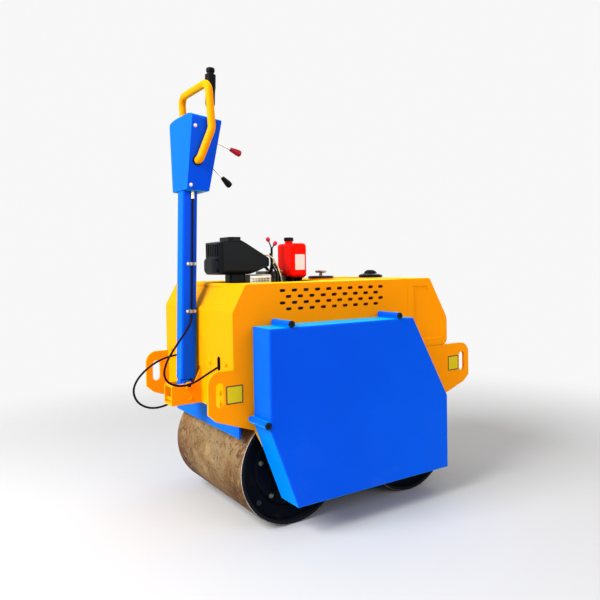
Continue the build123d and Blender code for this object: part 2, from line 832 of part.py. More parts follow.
# ---------------------------------------------------------------- tiller bracket
cheek_inner = column_width / 2 + cheek_gap
cheek_outer = cheek_inner + cheek_thickness
stop_places = [(-cheek_rear + stop_inset, cheek_top - stop_drop),
               (-cheek_rear + stop_inset, cheek_low + stop_rise)]
with BuildPart() as tiller_bracket:
    with BuildSketch(Plane.XZ.offset(cheek_inner)) as cheek_outline:
        with BuildLine():
            Polyline(
                (-cross_x, cheek_low), (-cheek_rear, cheek_low), (-cheek_rear, cheek_top),
                (-cheek_flat_end, cheek_top), (-cross_x - 2 * sheet, cheek_flare_top - cheek_step),
                (-cross_x, cheek_flare_top), close=True,
            )
        make_face()
        fillet(cheek_outline.vertices().sort_by_distance((-cheek_rear, cheek_top))[0], cheek_corner)
        fillet(cheek_outline.vertices().sort_by_distance((-cheek_flat_end, cheek_top))[0], cheek_bend)
        with Locations((pivot_x, pivot_z)):
            Circle(pin_radius + fit_gap, mode=Mode.SUBTRACT)
    extrude(amount=cheek_thickness)
    mirror(about=Plane.XZ)
    # floor that joins the cheeks
    with BuildSketch(Plane.XY.offset(cheek_low)):
        with Locations((-cheek_rear, 0)):
            Rectangle(cheek_rear - cross_x, 2 * cheek_inner, align=(Align.MIN, Align.CENTER))
    extrude(amount=cheek_thickness)
    # bars across the open rear end: the upper one stops the folded tiller
    with BuildSketch(Plane.XZ.offset(-cheek_inner)):
        with Locations(*stop_places):
            Circle(stop_radius)
    extrude(amount=2 * cheek_inner)
save(tiller_bracket, "tiller_bracket")

with BuildPart() as fold_pin:
    with BuildSketch(Plane.XZ.offset(-cheek_outer - pin_head)):
        with Locations((pivot_x, pivot_z)):
            Circle(pin_radius)
    extrude(amount=2 * (cheek_outer + pin_head))
    for side in (-1, 1):
        with BuildSketch(Plane(origin=(pivot_x, side * cheek_outer, pivot_z), x_dir=(1, 0, 0),
                               z_dir=(0, side, 0))):
            RegularPolygon(pin_head_radius, 6)
        extrude(amount=pin_head)
save(fold_pin, "fold_pin")

# ---------------------------------------------------------------- tiller
with BuildPart() as tiller_column:
    with BuildSketch(tiller_base.offset(column_foot)):
        with Locations((column_offset, 0)):
            RectangleRounded(column_depth, column_width, column_corner)
            RectangleRounded(column_depth - 2 * column_wall, column_width - 2 * column_wall,
                             column_corner - column_wall, mode=Mode.SUBTRACT)
    extrude(amount=column_top - column_foot - fit_gap)
    # closed foot with the knuckle that turns on the fold pin
    with BuildSketch(tiller_base.offset(column_foot)):
        with Locations((column_offset, 0)):
            RectangleRounded(column_depth, column_width, column_corner)
    extrude(amount=column_wall)
    with BuildSketch(tiller_side):
        with BuildLine():
            Polyline(
                (-foot_half_depth, -foot_heel), (foot_half_depth, -foot_heel),
                (foot_half_depth, column_foot), (-foot_half_depth, column_foot), close=True,
            )
        make_face()
    extrude(amount=foot_half_width, both=True)
    # boss that keeps the foot centred between the cheeks
    with BuildSketch(tiller_side):
        Circle(foot_boss_radius)
    extrude(amount=cheek_inner - foot_boss_gap, both=True)
    with BuildSketch(tiller_side):
        Circle(pin_radius + pin_clearance)
    extrude(amount=cheek_outer, both=True, mode=Mode.SUBTRACT)
save(tiller_column, "tiller_column")

# control box: its side view cut to its front view, and the same again, smaller, as its inside
def box_form(inset):
    with BuildPart() as form:
        with BuildSketch(tiller_side) as side_view:
            with BuildLine():
                Polyline(
                    (box_rear, box_rear_v), (box_rear, column_top), (box_low_front, column_top),
                    (box_top_front, box_front_v),
                )
                ThreePointArc((box_top_front, box_front_v), (box_crown_u, box_crown_v),
                              (box_rear, box_rear_v))
            make_face()
            for corner in ((box_rear, box_rear_v), (box_top_front, box_front_v)):
                fillet(side_view.vertices().sort_by_distance(corner)[0], box_corner)
            if inset:
                offset(amount=-inset, mode=Mode.REPLACE)
        extrude(amount=box_top_half, both=True)
        with BuildSketch(tiller_front) as front_view:
            with BuildLine():
                Polyline(
                    (-box_top_half, box_head_v), (-box_low_half, column_top),
                    (box_low_half, column_top), (box_top_half, box_head_v),
                )
                ThreePointArc((box_top_half, box_head_v), (0, box_arch_v),
                              (-box_top_half, box_head_v))
            make_face()
            fillet(front_view.vertices().group_by(Axis.Y)[-1], box_shoulder)
            if inset:
                offset(amount=-inset, mode=Mode.REPLACE)
        top_way = tiller_point(math.cos(top_tilt), -math.sin(top_tilt), 0) - tiller_point(0, 0, 0)
        extrude(amount=2 * box_top_front, dir=top_way, both=True, mode=Mode.INTERSECT)
    return form.part


# levers: name, where its rod leaves the box, its tip, rod radius, knob profile along the rod from
# the tip backwards as (distance, radius)
def on_box_front(v, y):
    return tiller_point(box_low_front + box_front_slope * (v - column_top), v, y)


cone_knob = [(0, 9.0), (3, 12.0), (14, 12.5), (42, 8.0), (46, 6.0)]
travel_grip = [
    (0, 13.0), (3, 16.0), (14, 16.0), (17, 13.0), (23, 13.0), (26, 20.0), (70, 20.0),
    (96, 18.0), (134, 18.0), (150, 14.0), (154, 10.0),
]
levers = [
    ("vibration_lever", on_box_front(907, -60), tiller_point(192, 871, -60), 4.0, cone_knob),
    ("throttle_lever", on_box_front(815, -60), tiller_point(151, 745, -60), 4.0, cone_knob),
    ("travel_lever", tiller_point(75, box_front_v, -40), tiller_point(75, 1183, -40), 7.0,
     travel_grip),
]

with BuildPart() as control_box:
    add(box_form(0))
    add(box_form(box_sheet), mode=Mode.SUBTRACT)
    for side in (-1, 1):
        with BuildSketch(tiller_side.offset(side * box_low_half / 2)):
            with Locations((bar_entry_u, bar_entry_v)):
                Circle(bar_radius + fit_gap)
        extrude(amount=side * box_top_half, mode=Mode.SUBTRACT)
    for lever_name, start, tip, rod, knob in levers:
        way = (tip - start).normalized()
        with BuildSketch(Plane(origin=start - way * 5 * box_sheet, z_dir=way)):
            Circle(rod + fit_gap)
        extrude(amount=10 * box_sheet, mode=Mode.SUBTRACT)
save(control_box, "control_box")

bar_route = [  # u, v, half width
    (bar_entry_u, bar_entry_v, bar_end_half), (bar_entry_u, bar_entry_v, bar_elbow_half),
    (bar_bend_u, bar_bend_v, bar_half), (bar_top_u, bar_top_v, bar_half),
]
bar_points = [tiller_point(u, v, -y) for u, v, y in bar_route]
bar_points += [tiller_point(u, v, y) for u, v, y in reversed(bar_route)]
with BuildPart() as handle_bar:
    with BuildLine():
        FilletPolyline(*bar_points, radius=bar_bends + bar_bends[::-1])
    with BuildSketch(Plane(origin=bar_points[0], z_dir=(0, -1, 0))):
        Circle(bar_radius)
    sweep()
save(handle_bar, "handle_bar")

# rubber rings where the bar enters the sloping sides of the box
side_angle = math.atan(box_side_slope)
entry_rise = bar_entry_v + bar_entry_u * math.tan(top_tilt) - column_top
entry_half = box_low_half + box_side_slope * entry_rise + fit_gap
with BuildPart() as bar_rings:
    for side in (-1, 1):
        out = Vector(0, side * math.cos(side_angle), 0) - tiller_base.z_dir * math.sin(side_angle)
        with BuildSketch(Plane(origin=tiller_point(bar_entry_u, bar_entry_v, side * entry_half),
                               z_dir=out)):
            Circle(bar_radius + bar_ring_wall)
            Circle(bar_radius + bar_ring_clearance, mode=Mode.SUBTRACT)
        extrude(amount=bar_ring_thickness)
save(bar_rings, "bar_rings")


def make_lever(name, start, tip, rod, knob):
    """A rod through the box's wall with a turned knob over its outer end."""
    way = (tip - start).normalized()
    across = way.cross(Vector(0, 1, 0)).normalized()
    rod_length = (tip - start).length - knob[-1][0] + 2 * box_sheet
    with BuildPart() as lever:
        with BuildSketch(Plane(origin=start - way * 2 * box_sheet, z_dir=way)):
            Circle(rod)
        extrude(amount=rod_length)
        with BuildSketch(Plane(origin=tip, x_dir=across, z_dir=across.cross(way))):
            with BuildLine():
                Polyline((0, 0), *[(radius, -back) for back, radius in knob], (0, -knob[-1][0]),
                         close=True)
            make_face()
        revolve(axis=Axis(tip, way))
    save(lever, name)


for lever in levers:
    make_lever(*lever)

# ---------------------------------------------------------------- control cables
with BuildPart() as cable_clips:
    for clip_place in clip_v:
        with BuildSketch(tiller_base.offset(clip_place - clip_width / 2)):
            with Locations((cable_u, -cable_y)):
                Circle(cable_radius + clip_wall)
            with Locations((cable_u, -(column_width + clip_sheet) / 2 - fit_gap / 2)):
                Rectangle(clip_foot, clip_sheet)
            with Locations((cable_u, -cable_y)):
                Circle(cable_radius + fit_gap, mode=Mode.SUBTRACT)
            with Locations((cable_u, 0)):
                Rectangle(2 * clip_foot, column_width + fit_gap, mode=Mode.SUBTRACT)
        extrude(amount=clip_width)
save(cable_clips, "cable_clips")

ferrule_low = column_top - ferrule_length
with BuildPart() as cable_ferrule:
    with BuildSketch(tiller_base.offset(ferrule_low)):
        with Locations((cable_u, -cable_y - ferrule_offset)):
            Circle(ferrule_radius)
    extrude(amount=ferrule_length - fit_gap)
save(cable_ferrule, "cable_ferrule")

clip_lead = 8.0
cable_clip = tiller_point(cable_u, clip_v[0] - clip_lead, -cable_y)
with BuildPart() as upper_cable:
    with BuildSketch(Plane(origin=cable_clip, z_dir=tiller_base.z_dir)):
        Circle(cable_radius)
    extrude(amount=ferrule_low - clip_v[0] + clip_lead)
save(upper_cable, "upper_cable")


def make_cable(name, points):
    """A free cable: straight runs joined by arcs as large as the runs allow."""
    vectors = [Vector(*p) for p in points]
    radii = []
    for before, here, after in zip(vectors, vectors[1:], vectors[2:]):
        first = here - before
        second = after - here
        turn = first.get_angle(second)
        radius = 0.45 * min(first.length, second.length) / math.tan(math.radians(turn / 2))
        radii.append(radius)
    print(name, "radii", [round(r) for r in radii])
    with BuildPart() as cable:
        with BuildLine() as path:
            FilletPolyline(*vectors, radius=radii)
        with BuildSketch(Plane(origin=vectors[0], z_dir=vectors[1] - vectors[0])):
            Circle(cable_radius)
        sweep()
    print(name, "volume", round(cable.part.volume), "section x length",
          round(math.pi * cable_radius ** 2 * sum(edge.length for edge in path.line.edges())))
    save(cable, name)


cable_bend = tiller_point(cable_u, clip_v[0] - 44, -cable_y)
right_route = [
    tuple(cable_clip), tuple(cable_bend), (-596, -58, 682), (-636, -78, 642), (-669, -90, 600),
    (-682, -96, 556), (-664, -106, 524), (-620, -124, 514), (-582, -146, 530),
    (-556, -174, 555), (-532, -202, 578), (-505, -207, 592),
]
left_route = [
    (-525, 52, 604), (-556, 52, 604), (-602, 68, 598), (-646, 88, 578), (-686, 98, 548),
    (-718, 102, 512), (-731, 102, 472), (-716, 98, 431), (-680, 92, 407), (-640, 82, 404),
    (-600, 68, 418), (-556, 50, 446), (-522, 50, 446),
]
make_cable("right_cable", right_route)
make_cable("left_cable", left_route)

ring_places = [(-hood_rear, left_route[0]), (-cross_x, left_route[-1])]
with BuildPart() as cable_grommets:
    for face_x, (x, y, z) in ring_places:
        with BuildSketch(Plane((face_x, y, z), z_dir=(-1, 0, 0))):
            Circle(ring_radius)
        extrude(amount=ring_thickness)
save(cable_grommets, "cable_grommets")
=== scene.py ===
"""Looks of a hand-guided double-drum roller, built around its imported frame.

Metres, +X forwards, +Y to the left, +Z up, ground at Z = 0.
"""
import json
import math
import random

import bmesh
import bpy
from mathutils import Matrix, Vector


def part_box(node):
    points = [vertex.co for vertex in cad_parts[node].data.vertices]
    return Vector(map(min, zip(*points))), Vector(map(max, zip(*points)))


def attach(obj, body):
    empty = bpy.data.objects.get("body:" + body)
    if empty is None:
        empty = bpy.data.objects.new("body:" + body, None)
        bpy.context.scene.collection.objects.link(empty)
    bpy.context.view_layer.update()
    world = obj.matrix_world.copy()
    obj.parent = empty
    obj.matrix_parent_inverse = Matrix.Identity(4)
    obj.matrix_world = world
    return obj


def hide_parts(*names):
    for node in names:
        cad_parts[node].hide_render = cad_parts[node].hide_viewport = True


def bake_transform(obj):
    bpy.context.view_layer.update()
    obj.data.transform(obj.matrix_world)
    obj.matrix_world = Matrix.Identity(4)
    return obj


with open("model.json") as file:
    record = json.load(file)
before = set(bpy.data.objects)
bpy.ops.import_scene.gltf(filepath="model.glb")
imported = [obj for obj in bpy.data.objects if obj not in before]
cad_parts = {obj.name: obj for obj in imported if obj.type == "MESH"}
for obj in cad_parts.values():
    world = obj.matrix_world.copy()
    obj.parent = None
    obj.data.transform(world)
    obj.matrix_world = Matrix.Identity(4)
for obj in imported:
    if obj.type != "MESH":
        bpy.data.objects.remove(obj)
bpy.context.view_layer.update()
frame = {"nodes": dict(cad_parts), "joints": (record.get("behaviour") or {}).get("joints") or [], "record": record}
cad = frame["nodes"]
scene = bpy.context.scene
SIDES = (-1, 1)


def link_object(name, data):
    """Puts a mesh, a curve, a camera or a lamp into the scene."""
    made = bpy.data.objects.new(name, data)
    scene.collection.objects.link(made)
    return made


# ---------------------------------------------------------------- camera
CAMERA_PLACE = Vector((-1.4167, -2.2103, 0.9399))
CAMERA_YAW = math.radians(34.86)      # from +Y towards +X
CAMERA_PITCH = math.radians(1.27)     # below the horizon
CAMERA_ROLL = math.radians(-0.85)
CAMERA_SENSOR = 36.0                  # millimetres
CAMERA_LENS = 36.99                   # millimetres
CAMERA_SHIFT = (-0.0576, -0.0376)
CAMERA_REACH = 100.0


def make_camera():
    """The view from behind the machine's right-hand corner."""
    forward = Vector((math.sin(CAMERA_YAW) * math.cos(CAMERA_PITCH),
                      math.cos(CAMERA_YAW) * math.cos(CAMERA_PITCH),
                      -math.sin(CAMERA_PITCH)))
    level_right = Vector((math.cos(CAMERA_YAW), -math.sin(CAMERA_YAW), 0))
    level_up = level_right.cross(forward)
    right = level_right * math.cos(CAMERA_ROLL) + level_up * math.sin(CAMERA_ROLL)
    up = level_up * math.cos(CAMERA_ROLL) - level_right * math.sin(CAMERA_ROLL)
    data = bpy.data.cameras.new("camera")
    data.sensor_width = CAMERA_SENSOR
    data.lens = CAMERA_LENS
    data.shift_x, data.shift_y = CAMERA_SHIFT
    data.clip_end = CAMERA_REACH
    camera = link_object("camera", data)
    turn = Matrix((right, up, -forward)).transposed().to_4x4()
    camera.matrix_world = Matrix.Translation(CAMERA_PLACE) @ turn
    scene.camera = camera


make_camera()

# ---------------------------------------------------------------- places read from the frame
JOINT_PLACES = {joint["name"]: Vector(joint["pos_m"]) for joint in frame["joints"]}
PIVOT = JOINT_PLACES["tiller_fold"]
DRUM_CENTRES = (
    ("rear_drum", JOINT_PLACES["rear_drum_spin"]),
    ("front_drum", JOINT_PLACES["front_drum_spin"]),
)
AXLE_X = JOINT_PLACES["front_drum_spin"].x
AXLE_Z = JOINT_PLACES["front_drum_spin"].z
DRUM_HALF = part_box("rear_drum_shell")[1].y
PLATE_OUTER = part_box("side_plate_left")[1].y
HOOD_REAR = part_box("hood")[0].x
CROSS_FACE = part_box("front_cross_member")[1].x

LEAN = math.radians(1.7)              # how far the upright tiller leans forwards
TILLER_FORWARD = Vector((math.cos(LEAN), 0, -math.sin(LEAN)))
TILLER_UP = Vector((math.sin(LEAN), 0, math.cos(LEAN)))


def tiller_point(u, v, y):
    """A point of the upright tiller: u forwards and v up from its fold pin."""
    return PIVOT + TILLER_FORWARD * u + TILLER_UP * v + Vector((0, y, 0))


# ---------------------------------------------------------------- node helpers
def is_socket(value):
    """Whether a value comes from another node."""
    return isinstance(value, bpy.types.NodeSocket)


def opaque(colour):
    """A plain colour with its alpha; a socket stays as it is."""
    return colour if is_socket(colour) else (*colour, 1.0)


def share_of(colour, share, lift=0.0):
    """A share of a colour, lifted evenly towards grey."""
    return tuple(share * channel + lift for channel in colour)


class Shader:
    """A node material under construction, with short ways to add the usual nodes."""

    def __init__(self, name):
        self.material = bpy.data.materials.new(name)
        self.material.use_nodes = True
        self.tree = self.material.node_tree
        self.tree.nodes.clear()
        self.output = self.tree.nodes.new("ShaderNodeOutputMaterial")
        self.surface = self.tree.nodes.new("ShaderNodeBsdfPrincipled")
        self.link(self.surface.outputs[0], self.output.inputs["Surface"])
        self.coords = self.tree.nodes.new("ShaderNodeTexCoord").outputs["Object"]

    def link(self, source, target):
        self.tree.links.new(source, target)

    def node(self, kind, inputs=None, **settings):
        """A node with its settings; each input is a value, or a socket to link."""
        made = self.tree.nodes.new(kind)
        for key, value in settings.items():
            setattr(made, key, value)
        for key, value in (inputs or {}).items():
            if is_socket(value):
                self.link(value, made.inputs[key])
            else:
                made.inputs[key].default_value = value
        return made

    def math(self, operation, first, second=0.0, clamp=False):
        inputs = {0: first, 1: second}
        return self.node("ShaderNodeMath", inputs, operation=operation, use_clamp=clamp).outputs[0]

    def plus(self, first, second):
        return self.math("ADD", first, second)

    def minus(self, first, second, clamp=False):
        return self.math("SUBTRACT", first, second, clamp)

    def times(self, first, second, clamp=False):
        return self.math("MULTIPLY", first, second, clamp)

    def stretched(self, scale):
        """Object coordinates times a scale for each axis."""
        return self.node("ShaderNodeMapping", {"Vector": self.coords, "Scale": scale}).outputs[0]

    def noise(self, scale, detail, rough, vector=None, distort=0.0):
        inputs = {"Vector": vector or self.coords, "Scale": scale, "Detail": detail,
                  "Roughness": rough, "Distortion": distort}
        return self.node("ShaderNodeTexNoise", inputs).outputs["Fac"]

    def ramp(self, value, start, end):
        """0 at start, 1 at end, smooth between; start may be the larger."""
        inputs = {"Value": value, "From Min": start, "From Max": end}
        return self.node("ShaderNodeMapRange", inputs, interpolation_type="SMOOTHSTEP").outputs[0]

    def mix(self, share, first, second):
        """The first colour at a share of 0, the second at 1."""
        inputs = {0: share, 6: opaque(first), 7: opaque(second)}
        return self.node("ShaderNodeMix", inputs, data_type="RGBA").outputs[2]

    def part(self, axis):
        """One coordinate of the surface point, in metres."""
        return self.node("ShaderNodeSeparateXYZ", {0: self.coords}).outputs[axis]

    def dot(self, first, second):
        inputs = {0: first, 1: second}
        return self.node("ShaderNodeVectorMath", inputs, operation="DOT_PRODUCT").outputs["Value"]

    def past(self, point, direction):
        """1 on the far side of a plane through point, square to direction; else 0."""
        away = self.node("ShaderNodeVectorMath", {0: self.coords, 1: point}, operation="SUBTRACT")
        return self.math("GREATER_THAN", self.dot(away.outputs[0], direction), 0.0)

    def soft_edges(self, radius):
        """Normals as if every edge were rounded to this radius."""
        return self.node("ShaderNodeBevel", {"Radius": radius}, samples=4).outputs[0]

    def worn_edge(self, radius):
        """1 along the edges of sheet and plate, 0 on their flats."""
        true_normal = self.node("ShaderNodeNewGeometry").outputs["Normal"]
        return self.minus(1.0, self.dot(self.soft_edges(radius), true_normal), clamp=True)

    def bump(self, height, strength, distance, normal=None):
        inputs = {"Height": height, "Strength": strength, "Distance": distance}
        if normal is not None:
            inputs["Normal"] = normal
        self.link(self.node("ShaderNodeBump", inputs).outputs[0], self.surface.inputs["Normal"])

    def set(self, **values):
        """Gives the surface's own sockets a value or a link; _ stands for a space."""
        for key, value in values.items():
            socket = self.surface.inputs[key.replace("_", " ")]
            if is_socket(value):
                self.link(value, socket)
            elif key.endswith(("Color", "Tint")):
                socket.default_value = opaque(value)
            else:
                socket.default_value = value


# ---------------------------------------------------------------- materials
BARE_METAL = (0.30, 0.27, 0.24)
ROAD_DUST = (0.40, 0.31, 0.21)
RUST = (0.20, 0.070, 0.022)
DUST_HEIGHTS = (0.50, 0.02)           # where road dust begins, and where it is thickest
PAINT_EDGE = 0.0016                   # radius to which paint rounds an edge
SLEEVE_ENDS_FROM = 0.4406             # just past the guards' outer faces; only sleeves reach here
LID_THICKNESS = 0.009                 # the round lid's disc, without the bar of its latch


def paint(name, colour, dark, dust, chip, roughness=0.38, coat=0.02, gloss=0.03, glow=None,
          black_beyond=None):
    """Sprayed enamel: slight orange peel, cloudy tone, dust low down, chipped edges.

    The glow is the tint that its powdery surface takes where the light grazes it. What
    lies further out to either side than black_beyond is black.
    """
    s = Shader(name)
    cloud = s.ramp(s.noise(2.2, detail=5.0, rough=0.6), 0.30, 0.72)
    tone = s.mix(cloud, dark, colour)
    low = s.ramp(s.part("Z"), *DUST_HEIGHTS)
    smudge = s.ramp(s.noise(7.5, detail=8.0, rough=0.68, distort=0.6), 0.48, 0.80)
    speckle = s.ramp(s.noise(85.0, detail=6.0, rough=0.7), 0.62, 0.74)
    dirt = s.plus(smudge, s.times(speckle, 0.35))
    reach = s.plus(s.times(low, 0.85), 0.06)
    dusty = s.times(s.times(dirt, reach), dust, clamp=True)
    tone = s.mix(dusty, tone, ROAD_DUST)
    edge_line = s.ramp(s.worn_edge(PAINT_EDGE), 0.10, 0.30)
    broken = s.ramp(s.noise(38.0, detail=7.0, rough=0.75), 0.60, 0.68)
    chipped = s.times(s.times(edge_line, broken), chip, clamp=True)
    tone = s.mix(chipped, tone, BARE_METAL)
    if black_beyond:
        ends = s.math("GREATER_THAN", s.math("ABSOLUTE", s.part("Y")), black_beyond)
        tone = s.mix(ends, tone, (0.008, 0.008, 0.009))
    rough = s.plus(roughness, s.times(dusty, 0.9))
    rough = s.plus(rough, s.times(s.noise(11.0, detail=5.0, rough=0.6), 0.10))
    peel = s.noise(420.0, detail=2.0, rough=0.5)
    ripple = s.noise(5.5, detail=2.0, rough=0.4)
    height = s.plus(s.times(peel, 0.10), ripple)
    s.bump(height, strength=0.30, distance=0.0010, normal=s.soft_edges(PAINT_EDGE))
    s.set(Base_Color=tone, Roughness=rough, Coat_Weight=coat, Coat_Roughness=0.12,
          Specular_IOR_Level=gloss, Metallic=s.times(chipped, 0.6))
    if glow:
        s.set(Sheen_Weight=0.85, Sheen_Roughness=0.45, Sheen_Tint=glow)
    return s.material


def scuffed_steel_and_shade(s, side):
    """Tone, blotches and relief of a drum's outside: tan steel, rust, scars, round lines, and painted shade that
    darkens its lower part.
    """
    near_rim = s.ramp(side, 0.06, 0.30)
    # 1 at the drum's bottom: it adds rust there and darkens the lower drum as painted shade
    low = s.ramp(s.part("Z"), 0.20, 0.02)
    blotch = s.noise(8.0, detail=8.0, rough=0.66, distort=0.5)
    fine = s.noise(70.0, detail=8.0, rough=0.7)
    coarse = s.noise(30.0, detail=8.0, rough=0.72, distort=0.8)
    lines = s.noise(1.0, detail=6.0, rough=0.7, vector=s.stretched((4.0, 230.0, 4.0)))
    tan = s.mix(s.ramp(blotch, 0.36, 0.62), (0.165, 0.094, 0.038), (0.33, 0.225, 0.102))
    greyer = s.ramp(s.noise(3.4, detail=6.0, rough=0.6), 0.44, 0.66)
    tone = s.mix(greyer, tan, (0.22, 0.155, 0.080))
    patch = s.ramp(s.noise(11.0, detail=9.0, rough=0.72, distort=1.4), 0.48, 0.66)
    streak = s.noise(1.0, detail=7.0, rough=0.72, vector=s.stretched((9.0, 34.0, 9.0)))
    streak = s.times(s.ramp(streak, 0.46, 0.64), 0.85)
    rust = s.times(s.math("MAXIMUM", patch, streak), s.plus(s.times(near_rim, 0.80), 0.18), clamp=True)
    # more rust towards the bottom; this darkening also stands in for shade on the lower drum, so it is partly
    # painted shade
    rust = s.math("MAXIMUM", rust, s.times(low, 0.60))
    tone = s.mix(rust, tone, RUST)
    scars = s.times(s.ramp(coarse, 0.52, 0.60), s.plus(0.35, near_rim), clamp=True)
    tone = s.mix(s.times(scars, 0.80), tone, (0.070, 0.034, 0.015))
    specks = s.ramp(fine, 0.54, 0.62)
    tone = s.mix(s.times(specks, 0.75), tone, (0.045, 0.026, 0.014))
    pale_lines = s.times(s.ramp(lines, 0.56, 0.76), 0.30)
    tone = s.mix(pale_lines, tone, (0.42, 0.31, 0.17))
    # old rust low down beside the rims, and the lowest part darkened as painted shade
    edge = s.times(s.ramp(side, 0.10, 0.23), s.ramp(s.part("Z"), 0.30, 0.12))
    burnt = s.times(edge, s.ramp(s.noise(26.0, detail=7.0, rough=0.7, distort=1.4), 0.42, 0.52))
    tone = s.mix(s.times(burnt, 0.88), tone, (0.070, 0.025, 0.007))
    tone = s.mix(s.times(low, 0.50), tone, (0.045, 0.023, 0.009))
    relief = s.plus(s.times(fine, 0.5), s.plus(s.times(lines, 0.35), blotch))
    return tone, blotch, relief


def rolled_steel(name):
    """The drum's shell: scuffed steel outside with painted shade towards the bottom, a worn bright rim, black
    paint inside.
    """
    rim_from = 0.2974
    inner_radius = 0.2102
    s = Shader(name)
    side = s.math("ABSOLUTE", s.part("Y"))
    tone, blotch, relief = scuffed_steel_and_shade(s, side)
    wear = s.plus(s.times(s.noise(26.0, detail=5.0, rough=0.6), 0.0030), rim_from)
    rim = s.math("GREATER_THAN", side, wear)
    tone = s.mix(s.times(rim, 0.9), tone, (0.66, 0.62, 0.55))
    along = s.minus(s.math("ABSOLUTE", s.part("X")), AXLE_X)
    rise = s.minus(s.part("Z"), AXLE_Z)
    from_axle = s.math("SQRT", s.plus(s.times(along, along), s.times(rise, rise)))
    inner = s.math("LESS_THAN", from_axle, inner_radius)
    tone = s.mix(inner, tone, (0.006, 0.008, 0.011))
    bright = s.times(rim, s.minus(1.0, inner))
    s.bump(relief, strength=0.45, distance=0.0016, normal=s.soft_edges(0.0015))
    s.set(Base_Color=tone, Roughness=s.plus(0.50, s.times(blotch, 0.26)),
          Metallic=s.times(bright, 0.4), Specular_IOR_Level=0.05)
    return s.material


def bright_metal(name, colour, roughness=0.28, tarnish=0.35):
    """Zinc-plated or turned metal with a faint tarnish."""
    s = Shader(name)
    cloud = s.ramp(s.noise(30.0, detail=6.0, rough=0.65), 0.35, 0.70)
    tone = s.mix(s.times(cloud, tarnish), colour, share_of(colour, 0.45))
    grain = s.noise(300.0, detail=3.0, rough=0.5)
    s.bump(grain, strength=0.15, distance=0.0004, normal=s.soft_edges(0.0006))
    s.set(Base_Color=tone, Roughness=s.plus(roughness, s.times(cloud, 0.22)), Metallic=0.95)
    return s.material


def cast_metal(name, colour):
    """Sand-cast aluminium with oily shadows."""
    s = Shader(name)
    oil = s.ramp(s.noise(16.0, detail=7.0, rough=0.7), 0.42, 0.70)
    tone = s.mix(s.times(oil, 0.7), colour, share_of(colour, 0.25))
    grain = s.noise(260.0, detail=5.0, rough=0.6)
    s.bump(grain, strength=0.5, distance=0.0008, normal=s.soft_edges(0.002))
    s.set(Base_Color=tone, Roughness=s.plus(0.42, s.times(oil, 0.2)), Metallic=0.75)
    return s.material


def perforated_sheet(name, colour):
    """Bright pressed sheet with rows of small dark holes, faintly heat-tinted."""
    s = Shader(name)
    cells = {"Vector": s.coords, "Scale": 165.0, "Randomness": 0.0}
    from_centre = s.node("ShaderNodeTexVoronoi", cells, feature="F1").outputs["Distance"]
    hole = s.ramp(from_centre, 0.34, 0.26)
    heat = s.ramp(s.noise(14.0, detail=5.0, rough=0.6), 0.40, 0.70)
    tone = s.mix(s.times(heat, 0.75), colour, (0.62, 0.43, 0.20))
    tone = s.mix(s.times(hole, 0.55), tone, (0.10, 0.08, 0.06))
    s.bump(s.minus(1.0, hole), strength=0.5, distance=0.0008, normal=s.soft_edges(0.001))
    s.set(Base_Color=tone, Roughness=s.plus(0.34, s.times(heat, 0.2)), Metallic=0.55,
          Specular_IOR_Level=0.4)
    return s.material


def moulded(name, colour, roughness, dust=0.06, coat=0.0, gloss=0.18, grain_depth=0.25):
    """Moulded plastic or rubber, or smooth enamel: fine grain and a patchy film of dust."""
    s = Shader(name)
    film = s.times(s.ramp(s.noise(21.0, detail=7.0, rough=0.7), 0.48, 0.78), dust)
    tone = s.mix(film, colour, share_of(colour, 0.55, lift=0.10))
    grain = s.noise(700.0, detail=2.0, rough=0.5)
    s.bump(grain, strength=grain_depth, distance=0.0003, normal=s.soft_edges(0.001))
    s.set(Base_Color=tone, Roughness=s.plus(roughness, s.times(film, 0.5)), Coat_Weight=coat,
          Coat_Roughness=0.08, Specular_IOR_Level=gloss)
    return s.material


def plate_face(name, colour, gloss=0.30):
    """An enamelled plate left blank, a little scuffed and faded."""
    s = Shader(name)
    fade = s.ramp(s.noise(26.0, detail=6.0, rough=0.65), 0.36, 0.74)
    tone = s.mix(s.times(fade, 0.25), colour, share_of(colour, 0.75))
    scuff = s.ramp(s.noise(150.0, detail=7.0, rough=0.75), 0.66, 0.74)
    tone = s.mix(s.times(scuff, 0.35), tone, (0.30, 0.27, 0.22))
    s.bump(s.noise(300.0, detail=3.0, rough=0.5), strength=0.12, distance=0.0002)
    s.set(Base_Color=tone, Roughness=s.plus(0.40, s.times(fade, 0.2)), Specular_IOR_Level=gloss)
    return s.material


def lid_finish(name, disc_top):
    """Black disc below, the bar of its latch in bare steel with brown grease above."""
    s = Shader(name)
    latch = s.math("GREATER_THAN", s.part("Z"), disc_top)
    grease = s.ramp(s.noise(34.0, detail=6.0, rough=0.7), 0.44, 0.60)
    steel = s.mix(grease, (0.46, 0.43, 0.38), (0.20, 0.045, 0.018))
    dusty = s.ramp(s.noise(40.0, detail=6.0, rough=0.7), 0.5, 0.75)
    disc = s.mix(dusty, (0.010, 0.009, 0.007), (0.06, 0.045, 0.03))
    grain = s.noise(300.0, detail=3.0, rough=0.5)
    s.bump(grain, strength=0.2, distance=0.0004, normal=s.soft_edges(0.001))
    s.set(Base_Color=s.mix(latch, disc, steel), Metallic=s.times(latch, 0.5),
          Roughness=s.plus(0.34, s.times(grease, 0.2)), Specular_IOR_Level=0.2)
    return s.material


